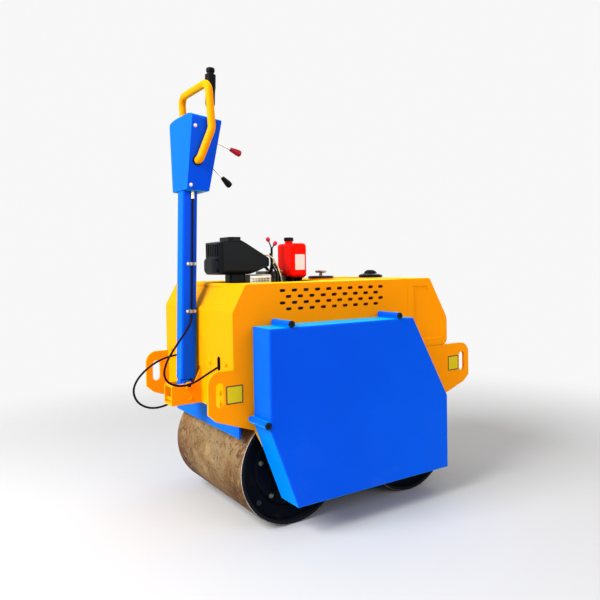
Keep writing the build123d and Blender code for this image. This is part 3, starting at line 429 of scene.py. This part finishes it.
def lever_finish(name, colour, start, tip, knob_length, roughness, gloss):
    """A bright rod that turns into a moulded knob this far before its tip."""
    s = Shader(name)
    way = (tip - start).normalized()
    overlap = 0.0005
    knob = s.past(tip - way * (knob_length + overlap), way)
    cloud = s.ramp(s.noise(60.0, detail=5.0, rough=0.6), 0.40, 0.72)
    rod_tone = s.mix(s.times(cloud, 0.4), (0.74, 0.71, 0.64), (0.42, 0.36, 0.27))
    knob_tone = s.mix(s.times(cloud, 0.18), colour, share_of(colour, 0.6, lift=0.004))
    grain = s.noise(520.0, detail=2.0, rough=0.5)
    s.bump(grain, strength=0.15, distance=0.0003, normal=s.soft_edges(0.0012))
    s.set(Base_Color=s.mix(knob, rod_tone, knob_tone), Metallic=s.times(s.minus(1.0, knob), 0.9),
          Roughness=s.plus(roughness, s.times(cloud, 0.15)), Specular_IOR_Level=gloss)
    return s.material


ORANGE = paint("orange_enamel", (1.0, 0.305, 0.0), (0.98, 0.278, 0.0), dust=0.04, chip=0.45,
               glow=(1.0, 0.85, 0.0))
BLUE = paint("blue_enamel", (0.0, 0.068, 0.76), (0.0, 0.058, 0.71), dust=0.03, chip=0.40,
             glow=(0.0, 0.75, 1.0), black_beyond=SLEEVE_ENDS_FROM)
BLACK_PAINT = paint("black_enamel", (0.004, 0.006, 0.010), (0.002, 0.003, 0.006), dust=0.04,
                    chip=0.8, roughness=0.36, coat=0.05, gloss=0.0)
TANK_RED = paint("red_enamel", (0.95, 0.004, 0.0), (0.88, 0.003, 0.0), dust=0.01, chip=0.10,
                 roughness=0.26, coat=0.03)
STEEL_SHELL = rolled_steel("drum_steel")
ZINC = bright_metal("zinc_plate", (0.74, 0.73, 0.70))
DULL_ZINC = bright_metal("dull_zinc", (0.27, 0.29, 0.26), roughness=0.34)
BOX_ZINC = bright_metal("box_bolt", (0.56, 0.55, 0.51), roughness=0.32, tarnish=0.25)
DARK_ZINC = bright_metal("dark_bolt", (0.125, 0.150, 0.125), roughness=0.22)
BRASS = bright_metal("yellow_zinc", (0.78, 0.62, 0.34), roughness=0.30)
SHEET_SILVER = perforated_sheet("pressed_aluminium", (0.78, 0.74, 0.66))
CAST = cast_metal("cast_aluminium", (0.085, 0.085, 0.080))
PLASTIC = moulded("black_moulding", (0.004, 0.005, 0.006), roughness=0.24, dust=0.02, coat=0.02,
                  gloss=0.05)
RUBBER = moulded("black_rubber", (0.006, 0.006, 0.007), roughness=0.50, dust=0.03, gloss=0.04)
SHEATH = moulded("cable_sheath", (0.006, 0.004, 0.003), roughness=0.42, dust=0.02, gloss=0.05)
PLUG_PAINT = moulded("plug_enamel", (0.010, 0.016, 0.022), roughness=0.28, dust=0.10, gloss=0.20)
RED_KNOB = moulded("red_moulding", (0.66, 0.004, 0.045), roughness=0.20, coat=0.1,
                   grain_depth=0.05)
YELLOW_PLATE = plate_face("yellow_plate", (0.70, 0.52, 0.004), gloss=0.10)
DARK_PLATE = plate_face("dark_plate", (0.050, 0.040, 0.010))
WHITE_PLATE = plate_face("white_plate", (0.78, 0.76, 0.76))

SLOT_MATERIALS = {
    "frame_orange": ORANGE, "cover_blue": BLUE, "drum_steel": STEEL_SHELL,
    "drum_black": BLACK_PAINT, "engine_grey": CAST, "black_plastic": PLASTIC,
    "shield_silver": SHEET_SILVER, "tank_red": TANK_RED, "black_steel": BLACK_PAINT,
    "black_rubber": RUBBER, "red_plastic": RED_KNOB, "gloss_black_plastic": PLASTIC,
    "bright_steel": ZINC, "brass": BRASS, "cable_black": SHEATH,
}


def dress(target, material):
    """Gives a node or a piece one material."""
    target.data.materials.clear()
    target.data.materials.append(material)


def finish_levers():
    """The levers are bright rods with moulded knobs."""
    black = (0.003, 0.003, 0.004)
    red = (0.50, 0.004, 0.022)
    levers = (  # node, knob's colour, rod leaves the box at, tip, knob length, roughness, gloss
        ("vibration_lever", red, (0.0810, 0.907, -0.060), (0.192, 0.871, -0.060), 0.046, 0.20, 0.16),
        ("throttle_lever", black, (0.0709, 0.815, -0.060), (0.151, 0.745, -0.060), 0.046, 0.20, 0.06),
        ("travel_lever", black, (0.075, 0.988, -0.040), (0.075, 1.183, -0.040), 0.154, 0.46, 0.05),
    )
    for node, colour, start, tip, knob_length, roughness, gloss in levers:
        finish = lever_finish(node + "_finish", colour, tiller_point(*start), tiller_point(*tip),
                              knob_length, roughness, gloss)
        dress(cad[node], finish)


def finish_nodes():
    """Every CAD node takes its slot's material, and a few take one of their own."""
    for entry in frame["record"]["subparts"]:
        dress(cad[entry["node"]], SLOT_MATERIALS[entry["material_slot"]])
    just_above = 0.0002
    disc_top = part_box("oil_lid")[0].z + LID_THICKNESS + just_above
    dress(cad["oil_lid"], lid_finish("lid_finish", disc_top))
    dress(cad["cable_clips"], DULL_ZINC)
    dress(cad["fold_pin"], ORANGE)
    finish_levers()


finish_nodes()

# ---------------------------------------------------------------- cables
CABLE_RADIUS = 0.004
RIGHT_ROUTE = [
    (-0.5490, -0.0343, 0.7636), (-0.5500, -0.0343, 0.7277), (-0.596, -0.058, 0.682),
    (-0.636, -0.078, 0.642), (-0.669, -0.090, 0.600), (-0.682, -0.096, 0.556),
    (-0.664, -0.106, 0.524), (-0.620, -0.124, 0.514), (-0.582, -0.146, 0.530),
    (-0.556, -0.174, 0.555), (-0.532, -0.202, 0.578), (-0.505, -0.207, 0.592),
]
LEFT_ROUTE = [
    (-0.525, 0.052, 0.604), (-0.556, 0.052, 0.604), (-0.602, 0.068, 0.598),
    (-0.646, 0.088, 0.578), (-0.686, 0.098, 0.548), (-0.718, 0.102, 0.512),
    (-0.731, 0.102, 0.472), (-0.716, 0.098, 0.431), (-0.680, 0.092, 0.407),
    (-0.640, 0.082, 0.404), (-0.600, 0.068, 0.418), (-0.556, 0.050, 0.446),
    (-0.522, 0.050, 0.446),
]


def route_curve(name, route):
    """The route as one smooth NURBS line."""
    curve = bpy.data.curves.new(name, "CURVE")
    curve.dimensions = "3D"
    curve.resolution_u = 16
    spline = curve.splines.new("NURBS")
    spline.points.add(len(route) - 1)
    for point, place in zip(spline.points, route):
        point.co = (*place, 1.0)
    spline.order_u = 3
    spline.use_endpoint_u = True
    return link_object(name, curve)


def line_points(name, route):
    """The points that the route's NURBS line runs through."""
    guide = route_curve(name, route)
    bpy.context.view_layer.update()
    graph = bpy.context.evaluated_depsgraph_get()
    mesh = bpy.data.meshes.new_from_object(guide.evaluated_get(graph))
    bpy.data.objects.remove(guide)
    return [vertex.co.copy() for vertex in mesh.vertices]


def add_rings(shape, rings):
    """Joins neighbouring rings of vertices with faces, and closes both ends."""
    for first, second in zip(rings, rings[1:]):
        for index in range(len(first)):
            after = (index + 1) % len(first)
            shape.faces.new((first[index], first[after], second[after], second[index]))
    shape.faces.new(list(reversed(rings[0])))
    shape.faces.new(rings[-1])


def add_tube(shape, path, radius, sides=16):
    """Adds a round tube along a path to a shape."""
    rings = []
    normal = (path[1] - path[0]).orthogonal().normalized()
    for index, point in enumerate(path):
        ahead = path[min(index + 1, len(path) - 1)]
        behind = path[max(index - 1, 0)]
        along = (ahead - behind).normalized()
        normal = (normal - along * normal.dot(along)).normalized()
        across = along.cross(normal)
        ring = []
        for side in range(sides):
            angle = 2 * math.pi * side / sides
            offset = normal * math.cos(angle) + across * math.sin(angle)
            ring.append(shape.verts.new(point + offset * radius))
        rings.append(ring)
    add_rings(shape, rings)


def mesh_object(name, shape):
    """Turns a shape into a smooth-shaded object."""
    mesh = bpy.data.meshes.new(name)
    shape.to_mesh(mesh)
    shape.free()
    mesh.shade_smooth()
    return link_object(name, mesh)


def make_left_cable():
    """The cable that leaves the hood's rear panel and goes in again below."""
    left = route_curve("left_control_cable", LEFT_ROUTE)
    left.data.bevel_depth = CABLE_RADIUS
    left.data.bevel_resolution = 4
    left.data.use_fill_caps = True
    dress(left, SHEATH)
    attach(left, "chassis")
    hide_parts("left_cable")


def make_right_cable():
    """The cable from the column into the hood."""
    path = line_points("right_guide", RIGHT_ROUTE)
    shape = bmesh.new()
    add_tube(shape, path, CABLE_RADIUS)
    right = mesh_object("right_control_cable", shape)
    dress(right, SHEATH)
    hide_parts("right_cable")
    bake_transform(right)


make_left_cable()
make_right_cable()


# ---------------------------------------------------------------- shapes of small parts
def turned(shape, profile, place, axis, sides):
    """Adds a turned solid to a shape: profile holds (radius, distance along axis) pairs."""
    turn = Vector(axis).to_track_quat("Z", "Y").to_matrix().to_4x4()
    matrix = Matrix.Translation(Vector(place)) @ turn
    rings = []
    for radius, along in profile:
        ring = []
        for side in range(sides):
            angle = 2 * math.pi * side / sides
            point = Vector((radius * math.cos(angle), radius * math.sin(angle), along))
            ring.append(shape.verts.new(matrix @ point))
        rings.append(ring)
    add_rings(shape, rings)


def bolt(shape, place, axis, radius):
    """A chamfered hexagon head on a washer; the radius is the head's, out to its corners."""
    washer = 0.18 * radius
    head = washer + 0.62 * radius
    washer_profile = [(1.45 * radius, 0), (1.45 * radius, 0.7 * washer), (1.35 * radius, washer)]
    head_profile = [(0.94 * radius, washer), (radius, washer + 0.08 * radius),
                    (radius, head - 0.15 * radius), (0.84 * radius, head)]
    turned(shape, washer_profile, place, axis, sides=24)
    turned(shape, head_profile, place, axis, sides=6)


def slab(shape, place, width, height, thickness, corner):
    """A thin plate with round corners, lying on a wall that faces -Y."""
    steps = 5
    outline = []
    for turn, (sx, sz) in enumerate(((1, 1), (-1, 1), (-1, -1), (1, -1))):
        for step in range(steps + 1):
            angle = math.pi / 2 * (turn + step / steps)
            outline.append((sx * (width / 2 - corner) + corner * math.cos(angle),
                            sz * (height / 2 - corner) + corner * math.sin(angle)))
    rims = []
    for grow, rise in ((0.0, 0.0), (0.0, 0.7), (-0.4, 1.0)):
        rims.append([
            shape.verts.new(Vector((place[0] + x * (1 + grow * thickness / width),
                                    place[1] - rise * thickness,
                                    place[2] + z * (1 + grow * thickness / height))))
            for x, z in outline
        ])
    add_rings(shape, rims)


def weld(shape, start, end, radius):
    """A weld bead: close rings of slightly uneven size along a line."""
    ripple_length = 0.0022
    start = Vector(start)
    end = Vector(end)
    length = (end - start).length
    count = max(4, int(length / ripple_length))
    chance = random.Random(count)
    profile = []
    for index in range(count + 1):
        share = index / count
        swell = 0.86 + 0.14 * (index % 2) + 0.10 * chance.random()
        taper = min(1.0, 0.25 + 6 * min(share, 1 - share))
        profile.append((radius * swell * taper, share * length))
    turned(shape, profile, start, (end - start).normalized(), sides=8)


def rod(shape, route, radius):
    """A pipe along a smooth line through a few points."""
    add_tube(shape, line_points("pipe_guide", route), radius, sides=12)


def piece(name, shape, material, body):
    """Turns a shape into a piece that rides on a body."""
    bmesh.ops.recalc_face_normals(shape, faces=shape.faces)
    made = mesh_object(name, shape)
    made.data.set_sharp_from_angle(angle=math.radians(38))
    dress(made, material)
    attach(made, body)


# ---------------------------------------------------------------- drums
DISC_Y = DRUM_HALF - 0.022            # outer face of the closing discs
FLANGE_Y = DISC_Y + 0.008             # and of the flange on them
BOLT_COUNT = 6
BOLT_RING = 0.129                     # radius of the circle that the bolts lie on
FIRST_BOLT = 167.5                    # degrees from +X towards +Z, as the plug's angle is
PLUG_RING = 0.176
PLUG_ANGLE = -140.0


def on_drum(centre, ring, degrees, y):
    """A point on a ring round the drum's axis."""
    angle = math.radians(degrees)
    return (centre.x + ring * math.cos(angle), y, centre.z + ring * math.sin(angle))


def make_drum_bolts():
    """Six bolts round the flange of each drum end, and the filling plug further out."""
    seat_profile = [(0.0100, 0), (0.0100, 0.003), (0.0090, 0.004)]
    for body, centre in DRUM_CENTRES:
        bolts = bmesh.new()
        plugs = bmesh.new()
        for side in SIDES:
            for index in range(BOLT_COUNT):
                angle = FIRST_BOLT + 360 / BOLT_COUNT * index
                place = on_drum(centre, BOLT_RING, angle, side * FLANGE_Y)
                bolt(bolts, place, (0, side, 0), radius=0.0065)
            plug = on_drum(centre, PLUG_RING, PLUG_ANGLE, side * DISC_Y)
            turned(plugs, seat_profile, plug, (0, side, 0), sides=24)
            bolt(plugs, plug, (0, side, 0), radius=0.0060)
        piece(body + "_bolts", bolts, DARK_ZINC, body)
        piece(body + "_plugs", plugs, PLUG_PAINT, body)


# ---------------------------------------------------------------- guards, hood and frame
SLEEVE_RADIUS = 0.012
TOP_SLEEVES = (-0.362, 0.113)         # x of the sleeves along the top of each guard
TOP_SLEEVE_Z = 0.740
EDGE_SLEEVE = (-0.456, 0.413)         # x and z of the sleeve at its rear edge
EAR_PLATE_X = 0.517
EAR_PLATE_Z = 0.505


def make_sleeve_caps():
    """A rubber cap round the end of each hinge sleeve, and the beads that hold the sleeves."""
    caps = bmesh.new()
    beads = bmesh.new()
    sleeve_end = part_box("cover_left")[1].y
    cap_length = 0.0045
    cap_radius = SLEEVE_RADIUS + 0.0003
    cap_profile = [(SLEEVE_RADIUS, 0), (cap_radius, 0.0006), (cap_radius, cap_length - 0.0014),
                   (SLEEVE_RADIUS - 0.0014, cap_length - 0.0002)]
    bead_z = 0.730
    bead_gap = 0.0105
    bead_start = 0.335
    bead_end = 0.430
    for side in SIDES:
        for x, z in (*((x, TOP_SLEEVE_Z) for x in TOP_SLEEVES), EDGE_SLEEVE):
            start = (x, side * (sleeve_end - cap_length), z)
            turned(caps, cap_profile, start, (0, side, 0), sides=28)
        for x in TOP_SLEEVES:
            for edge in SIDES:
                bead_x = x + edge * bead_gap
                weld(beads, (bead_x, side * bead_start, bead_z), (bead_x, side * bead_end, bead_z),
                     radius=0.0022)
    piece("sleeve_caps", caps, RUBBER, "chassis")
    piece("sleeve_welds", beads, BLUE, "chassis")


def make_frame_bolts():
    """Painted bolts of the hood's rear panel and of the cross members."""
    bolts = bmesh.new()
    for side in SIDES:
        for y, z in ((0.129, 0.590), (0.264, 0.598)):
            bolt(bolts, (HOOD_REAR, side * y, z), (-1, 0, 0), radius=0.0062)
        for end in SIDES:
            for z in (0.494, 0.455):
                bolt(bolts, (end * CROSS_FACE, side * 0.208, z), (end, 0, 0), radius=0.0090)
    piece("frame_bolts", bolts, ORANGE, "chassis")


def make_bracket_parts():
    """Weld beads, two small painted bolts and the fold pin's locking screws."""
    beads = bmesh.new()
    bolts = bmesh.new()
    locks = bmesh.new()
    low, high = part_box("tiller_bracket")
    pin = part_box("fold_pin")
    proud = 0.0005
    sunk = 0.0002
    seam_x = high.x - proud
    seam_z = low.z - proud
    seam_y = 0.0300
    for side in SIDES:
        y = side * (high.y + proud)
        weld(beads, (seam_x, y, low.z + 0.002), (seam_x, y, high.z - 0.004), radius=0.0026)
        weld(beads, (seam_x, side * seam_y, seam_z), (low.x + 0.005, side * seam_y, seam_z),
             radius=0.0016)
        bolt(bolts, (-0.560, side * high.y, low.z + 0.020), (0, side, 0), radius=0.0052)
        pin_end = pin[0].y if side < 0 else pin[1].y
        bolt(locks, (PIVOT.x, pin_end - side * sunk, PIVOT.z), (0, side, 0), radius=0.0048)
    piece("bracket_welds", beads, ORANGE, "chassis")
    piece("bracket_bolts", bolts, ORANGE, "chassis")
    piece("pin_locks", locks, BLACK_PAINT, "chassis")


def make_slot_edging():
    """Rubber edging round the slot through which the right cable enters the machine."""
    edging = bmesh.new()
    slot_y = -0.206
    slot_z = 0.596
    half_width = 0.0085
    half_straight = 0.0135
    steps = 32
    path = []
    for step in range(steps + 1):
        angle = 2 * math.pi * step / steps
        rise = math.copysign(half_straight, math.sin(angle))
        path.append(Vector((HOOD_REAR, slot_y + half_width * math.cos(angle),
                            slot_z + rise + half_width * math.sin(angle))))
    path[-1] = path[0].copy()
    add_tube(edging, path, radius=0.0030, sides=10)
    piece("slot_edging", edging, RUBBER, "chassis")


def make_plates():
    """Blank plates: one on each right-hand ear, one on the fuel tank."""
    border = bmesh.new()
    face = bmesh.new()
    border_size = 0.062
    face_size = 0.054
    for end in SIDES:
        place = (end * EAR_PLATE_X, -PLATE_OUTER, EAR_PLATE_Z)
        slab(border, place, width=border_size, height=border_size, thickness=0.0008, corner=0.003)
        slab(face, place, width=face_size, height=face_size, thickness=0.0011, corner=0.002)
    piece("ear_plate_borders", border, DARK_PLATE, "chassis")
    piece("ear_plate_faces", face, YELLOW_PLATE, "chassis")
    label = bmesh.new()
    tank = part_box("fuel_tank")
    place = (-0.115, tank[0].y, 0.949)
    slab(label, place, width=0.045, height=0.062, thickness=0.0006, corner=0.003)
    piece("fuel_plate", label, WHITE_PLATE, "chassis")


# ---------------------------------------------------------------- tiller
BOX_LOW_V = 0.717                     # lower end of the control box, above the fold pin
BOX_HEAD_V = 0.982                    # and its widest place
BOX_LOW_HALF = 0.073
BOX_HEAD_HALF = 0.116


def make_tiller_bolts():
    """Bright bolts of the control box, of the cable clips and under the box."""
    bolts = bmesh.new()
    flare = (BOX_HEAD_HALF - BOX_LOW_HALF) / (BOX_HEAD_V - BOX_LOW_V)
    tilt = math.atan(flare)
    for side in SIDES:
        outward = Vector((0, side * math.cos(tilt), 0)) - TILLER_UP * math.sin(tilt)
        for u, v in ((-0.011, 0.943), (-0.012, 0.734)):
            half = BOX_LOW_HALF + flare * (v - BOX_LOW_V)
            bolt(bolts, tiller_point(u, v, side * half), outward, radius=0.0048)
    clip_face = -0.0327
    for v in (0.272, 0.448):
        for u in (-0.0035, 0.0255):
            bolt(bolts, tiller_point(u, v, clip_face), (0, -1, 0), radius=0.0038)
    for y in (-0.055, -0.015, 0.055):
        bolt(bolts, tiller_point(0.044, BOX_LOW_V, y), -TILLER_UP, radius=0.0042)
    piece("tiller_bolts", bolts, BOX_ZINC, "tiller")


# ---------------------------------------------------------------- engine
FUEL_PIPE = [
    (-0.192, -0.088, 0.862), (-0.196, -0.090, 0.885), (-0.204, -0.090, 0.910),
    (-0.214, -0.088, 0.942), (-0.228, -0.080, 0.968), (-0.248, -0.070, 0.980),
    (-0.268, -0.060, 0.975), (-0.276, -0.055, 0.962),
]
RETURN_PIPE = [
    (-0.215, -0.046, 0.975), (-0.209, -0.050, 0.950), (-0.190, -0.056, 0.925),
    (-0.172, -0.050, 0.913),
]
PIPE_UNION = (-0.216, -0.0445, 0.978)
UPRIGHT_HOSE = [
    (-0.222, -0.052, 0.985), (-0.220, -0.060, 0.955), (-0.226, -0.062, 0.925),
    (-0.228, -0.052, 0.900), (-0.228, -0.045, 0.882),
]
CROSS_HOSE = [
    (-0.240, -0.020, 0.940), (-0.225, 0.000, 0.935), (-0.205, 0.010, 0.925),
    (-0.195, 0.015, 0.912),
]


def make_pipes():
    """Bare fuel pipes with a union nut, and black hoses beside them."""
    pipes = bmesh.new()
    rod(pipes, FUEL_PIPE, radius=0.0030)
    rod(pipes, RETURN_PIPE, radius=0.0022)
    bolt(pipes, PIPE_UNION, (0.1, -0.3, 1), radius=0.0062)
    piece("fuel_pipes", pipes, BRASS, "chassis")
    hoses = bmesh.new()
    rod(hoses, UPRIGHT_HOSE, radius=0.0055)
    rod(hoses, CROSS_HOSE, radius=0.0060)
    for x in (-0.212, -0.200):
        thin_hose = [(x, -0.078, 0.868), (x + 0.003, -0.080, 0.895), (x - 0.003, -0.074, 0.922),
                     (x - 0.012, -0.060, 0.944)]
        rod(hoses, thin_hose, radius=0.0042)
    piece("engine_hoses", hoses, RUBBER, "chassis")


def make_engine_nuts():
    """Nuts on the rocker cover, the air cleaner's knob and two bolts of the muffler shield."""
    nuts = bmesh.new()
    low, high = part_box("engine_head")
    inset = Vector((0.014, 0.013, 0.0005))
    for x in (low.x + inset.x, high.x - inset.x):
        for y in (low.y + inset.y, high.y - inset.y):
            bolt(nuts, (x, y, high.z - inset.z), (0, 0, 1), radius=0.0048)
    low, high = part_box("air_cleaner")
    knob_profile = [(0.012, 0), (0.012, 0.003), (0.006, 0.005), (0.005, 0.010), (0.003, 0.011)]
    knob = (-0.398, (low.y + high.y) / 2, high.z - 0.0112)
    turned(nuts, knob_profile, knob, (0, 0, 1), sides=20)
    low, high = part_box("muffler_shield")
    for x in (low.x + 0.008, high.x - 0.008):
        bolt(nuts, (x, low.y, high.z - 0.012), (0, -1, 0), radius=0.0034)
    piece("engine_nuts", nuts, ZINC, "chassis")


make_drum_bolts()
make_sleeve_caps()
make_frame_bolts()
make_bracket_parts()
make_slot_edging()
make_plates()
make_tiller_bolts()
make_pipes()
make_engine_nuts()

# ---------------------------------------------------------------- studio
BACKGROUND = 0.935                    # strength of the surroundings as they are seen
WORLD_LIGHT = 0.40                    # and as they light the object
LAMP_AIM = Vector((0, 0, 0.6))
FLOOR_GREY = 0.555
FLOOR_REACH = 30.0
FLOOR_FADE = (1.2, 3.0)               # distances at which the floor begins to fade, and is gone


def make_world():
    """Plain white surroundings, brighter to the camera and in reflections than as light."""
    world = bpy.data.worlds.new("studio")
    world.use_nodes = True
    tree = world.node_tree
    tree.nodes.clear()
    output = tree.nodes.new("ShaderNodeOutputWorld")
    mix = tree.nodes.new("ShaderNodeMixShader")
    path = tree.nodes.new("ShaderNodeLightPath")
    mirrored = tree.nodes.new("ShaderNodeMath")
    mirrored.operation = "MAXIMUM"
    shown = tree.nodes.new("ShaderNodeMath")
    shown.operation = "MAXIMUM"
    tree.links.new(path.outputs["Is Glossy Ray"], mirrored.inputs[0])
    tree.links.new(path.outputs["Is Transmission Ray"], mirrored.inputs[1])
    tree.links.new(path.outputs["Is Camera Ray"], shown.inputs[0])
    tree.links.new(mirrored.outputs[0], shown.inputs[1])
    tree.links.new(shown.outputs[0], mix.inputs[0])
    for index, strength in enumerate((WORLD_LIGHT, BACKGROUND), start=1):
        light = tree.nodes.new("ShaderNodeBackground")
        light.inputs["Color"].default_value = (1, 1, 1, 1)
        light.inputs["Strength"].default_value = strength
        tree.links.new(light.outputs[0], mix.inputs[index])
    tree.links.new(mix.outputs[0], output.inputs["Surface"])
    scene.world = world


def make_lamps():
    """Four large soft lamps, the strongest behind the machine and above its tiller."""
    lamps = (  # name, place, size, power
        ("key", (-4.1, -0.5, 3.3), 2.8, 410.0),
        ("fill", (0.9, -4.6, 2.2), 3.2, 96.0),
        ("front", (4.0, 2.6, 2.6), 3.2, 60.0),
        ("top", (0.2, 0.2, 4.4), 3.0, 25.0),
    )
    for name, place, size, power in lamps:
        data = bpy.data.lights.new(name, "AREA")
        data.shape = "SQUARE"
        data.size = size
        data.energy = power
        lamp = link_object(name, data)
        turn = (LAMP_AIM - Vector(place)).to_track_quat("-Z", "Y").to_matrix().to_4x4()
        lamp.matrix_world = Matrix.Translation(place) @ turn


def make_floor():
    """A pale floor that fades into the background with distance."""
    mesh = bpy.data.meshes.new("floor")
    corners = [(x * FLOOR_REACH, y * FLOOR_REACH, 0) for x, y in ((-1, -1), (1, -1), (1, 1), (-1, 1))]
    mesh.from_pydata(corners, [], [(0, 1, 2, 3)])
    floor = link_object("floor", mesh)
    s = Shader("pale_floor")
    away = s.node("ShaderNodeVectorMath", {0: s.coords}, operation="LENGTH").outputs["Value"]
    fade = s.ramp(away, *FLOOR_FADE)
    clear = s.node("ShaderNodeBsdfTransparent").outputs[0]
    s.set(Base_Color=(FLOOR_GREY,) * 3, Roughness=0.9, Specular_IOR_Level=0.1)
    mix = s.node("ShaderNodeMixShader", {0: fade, 1: s.surface.outputs[0], 2: clear})
    s.link(mix.outputs[0], s.output.inputs["Surface"])
    dress(floor, s.material)


make_world()
make_lamps()
make_floor()
scene.view_settings.view_transform = "Standard"
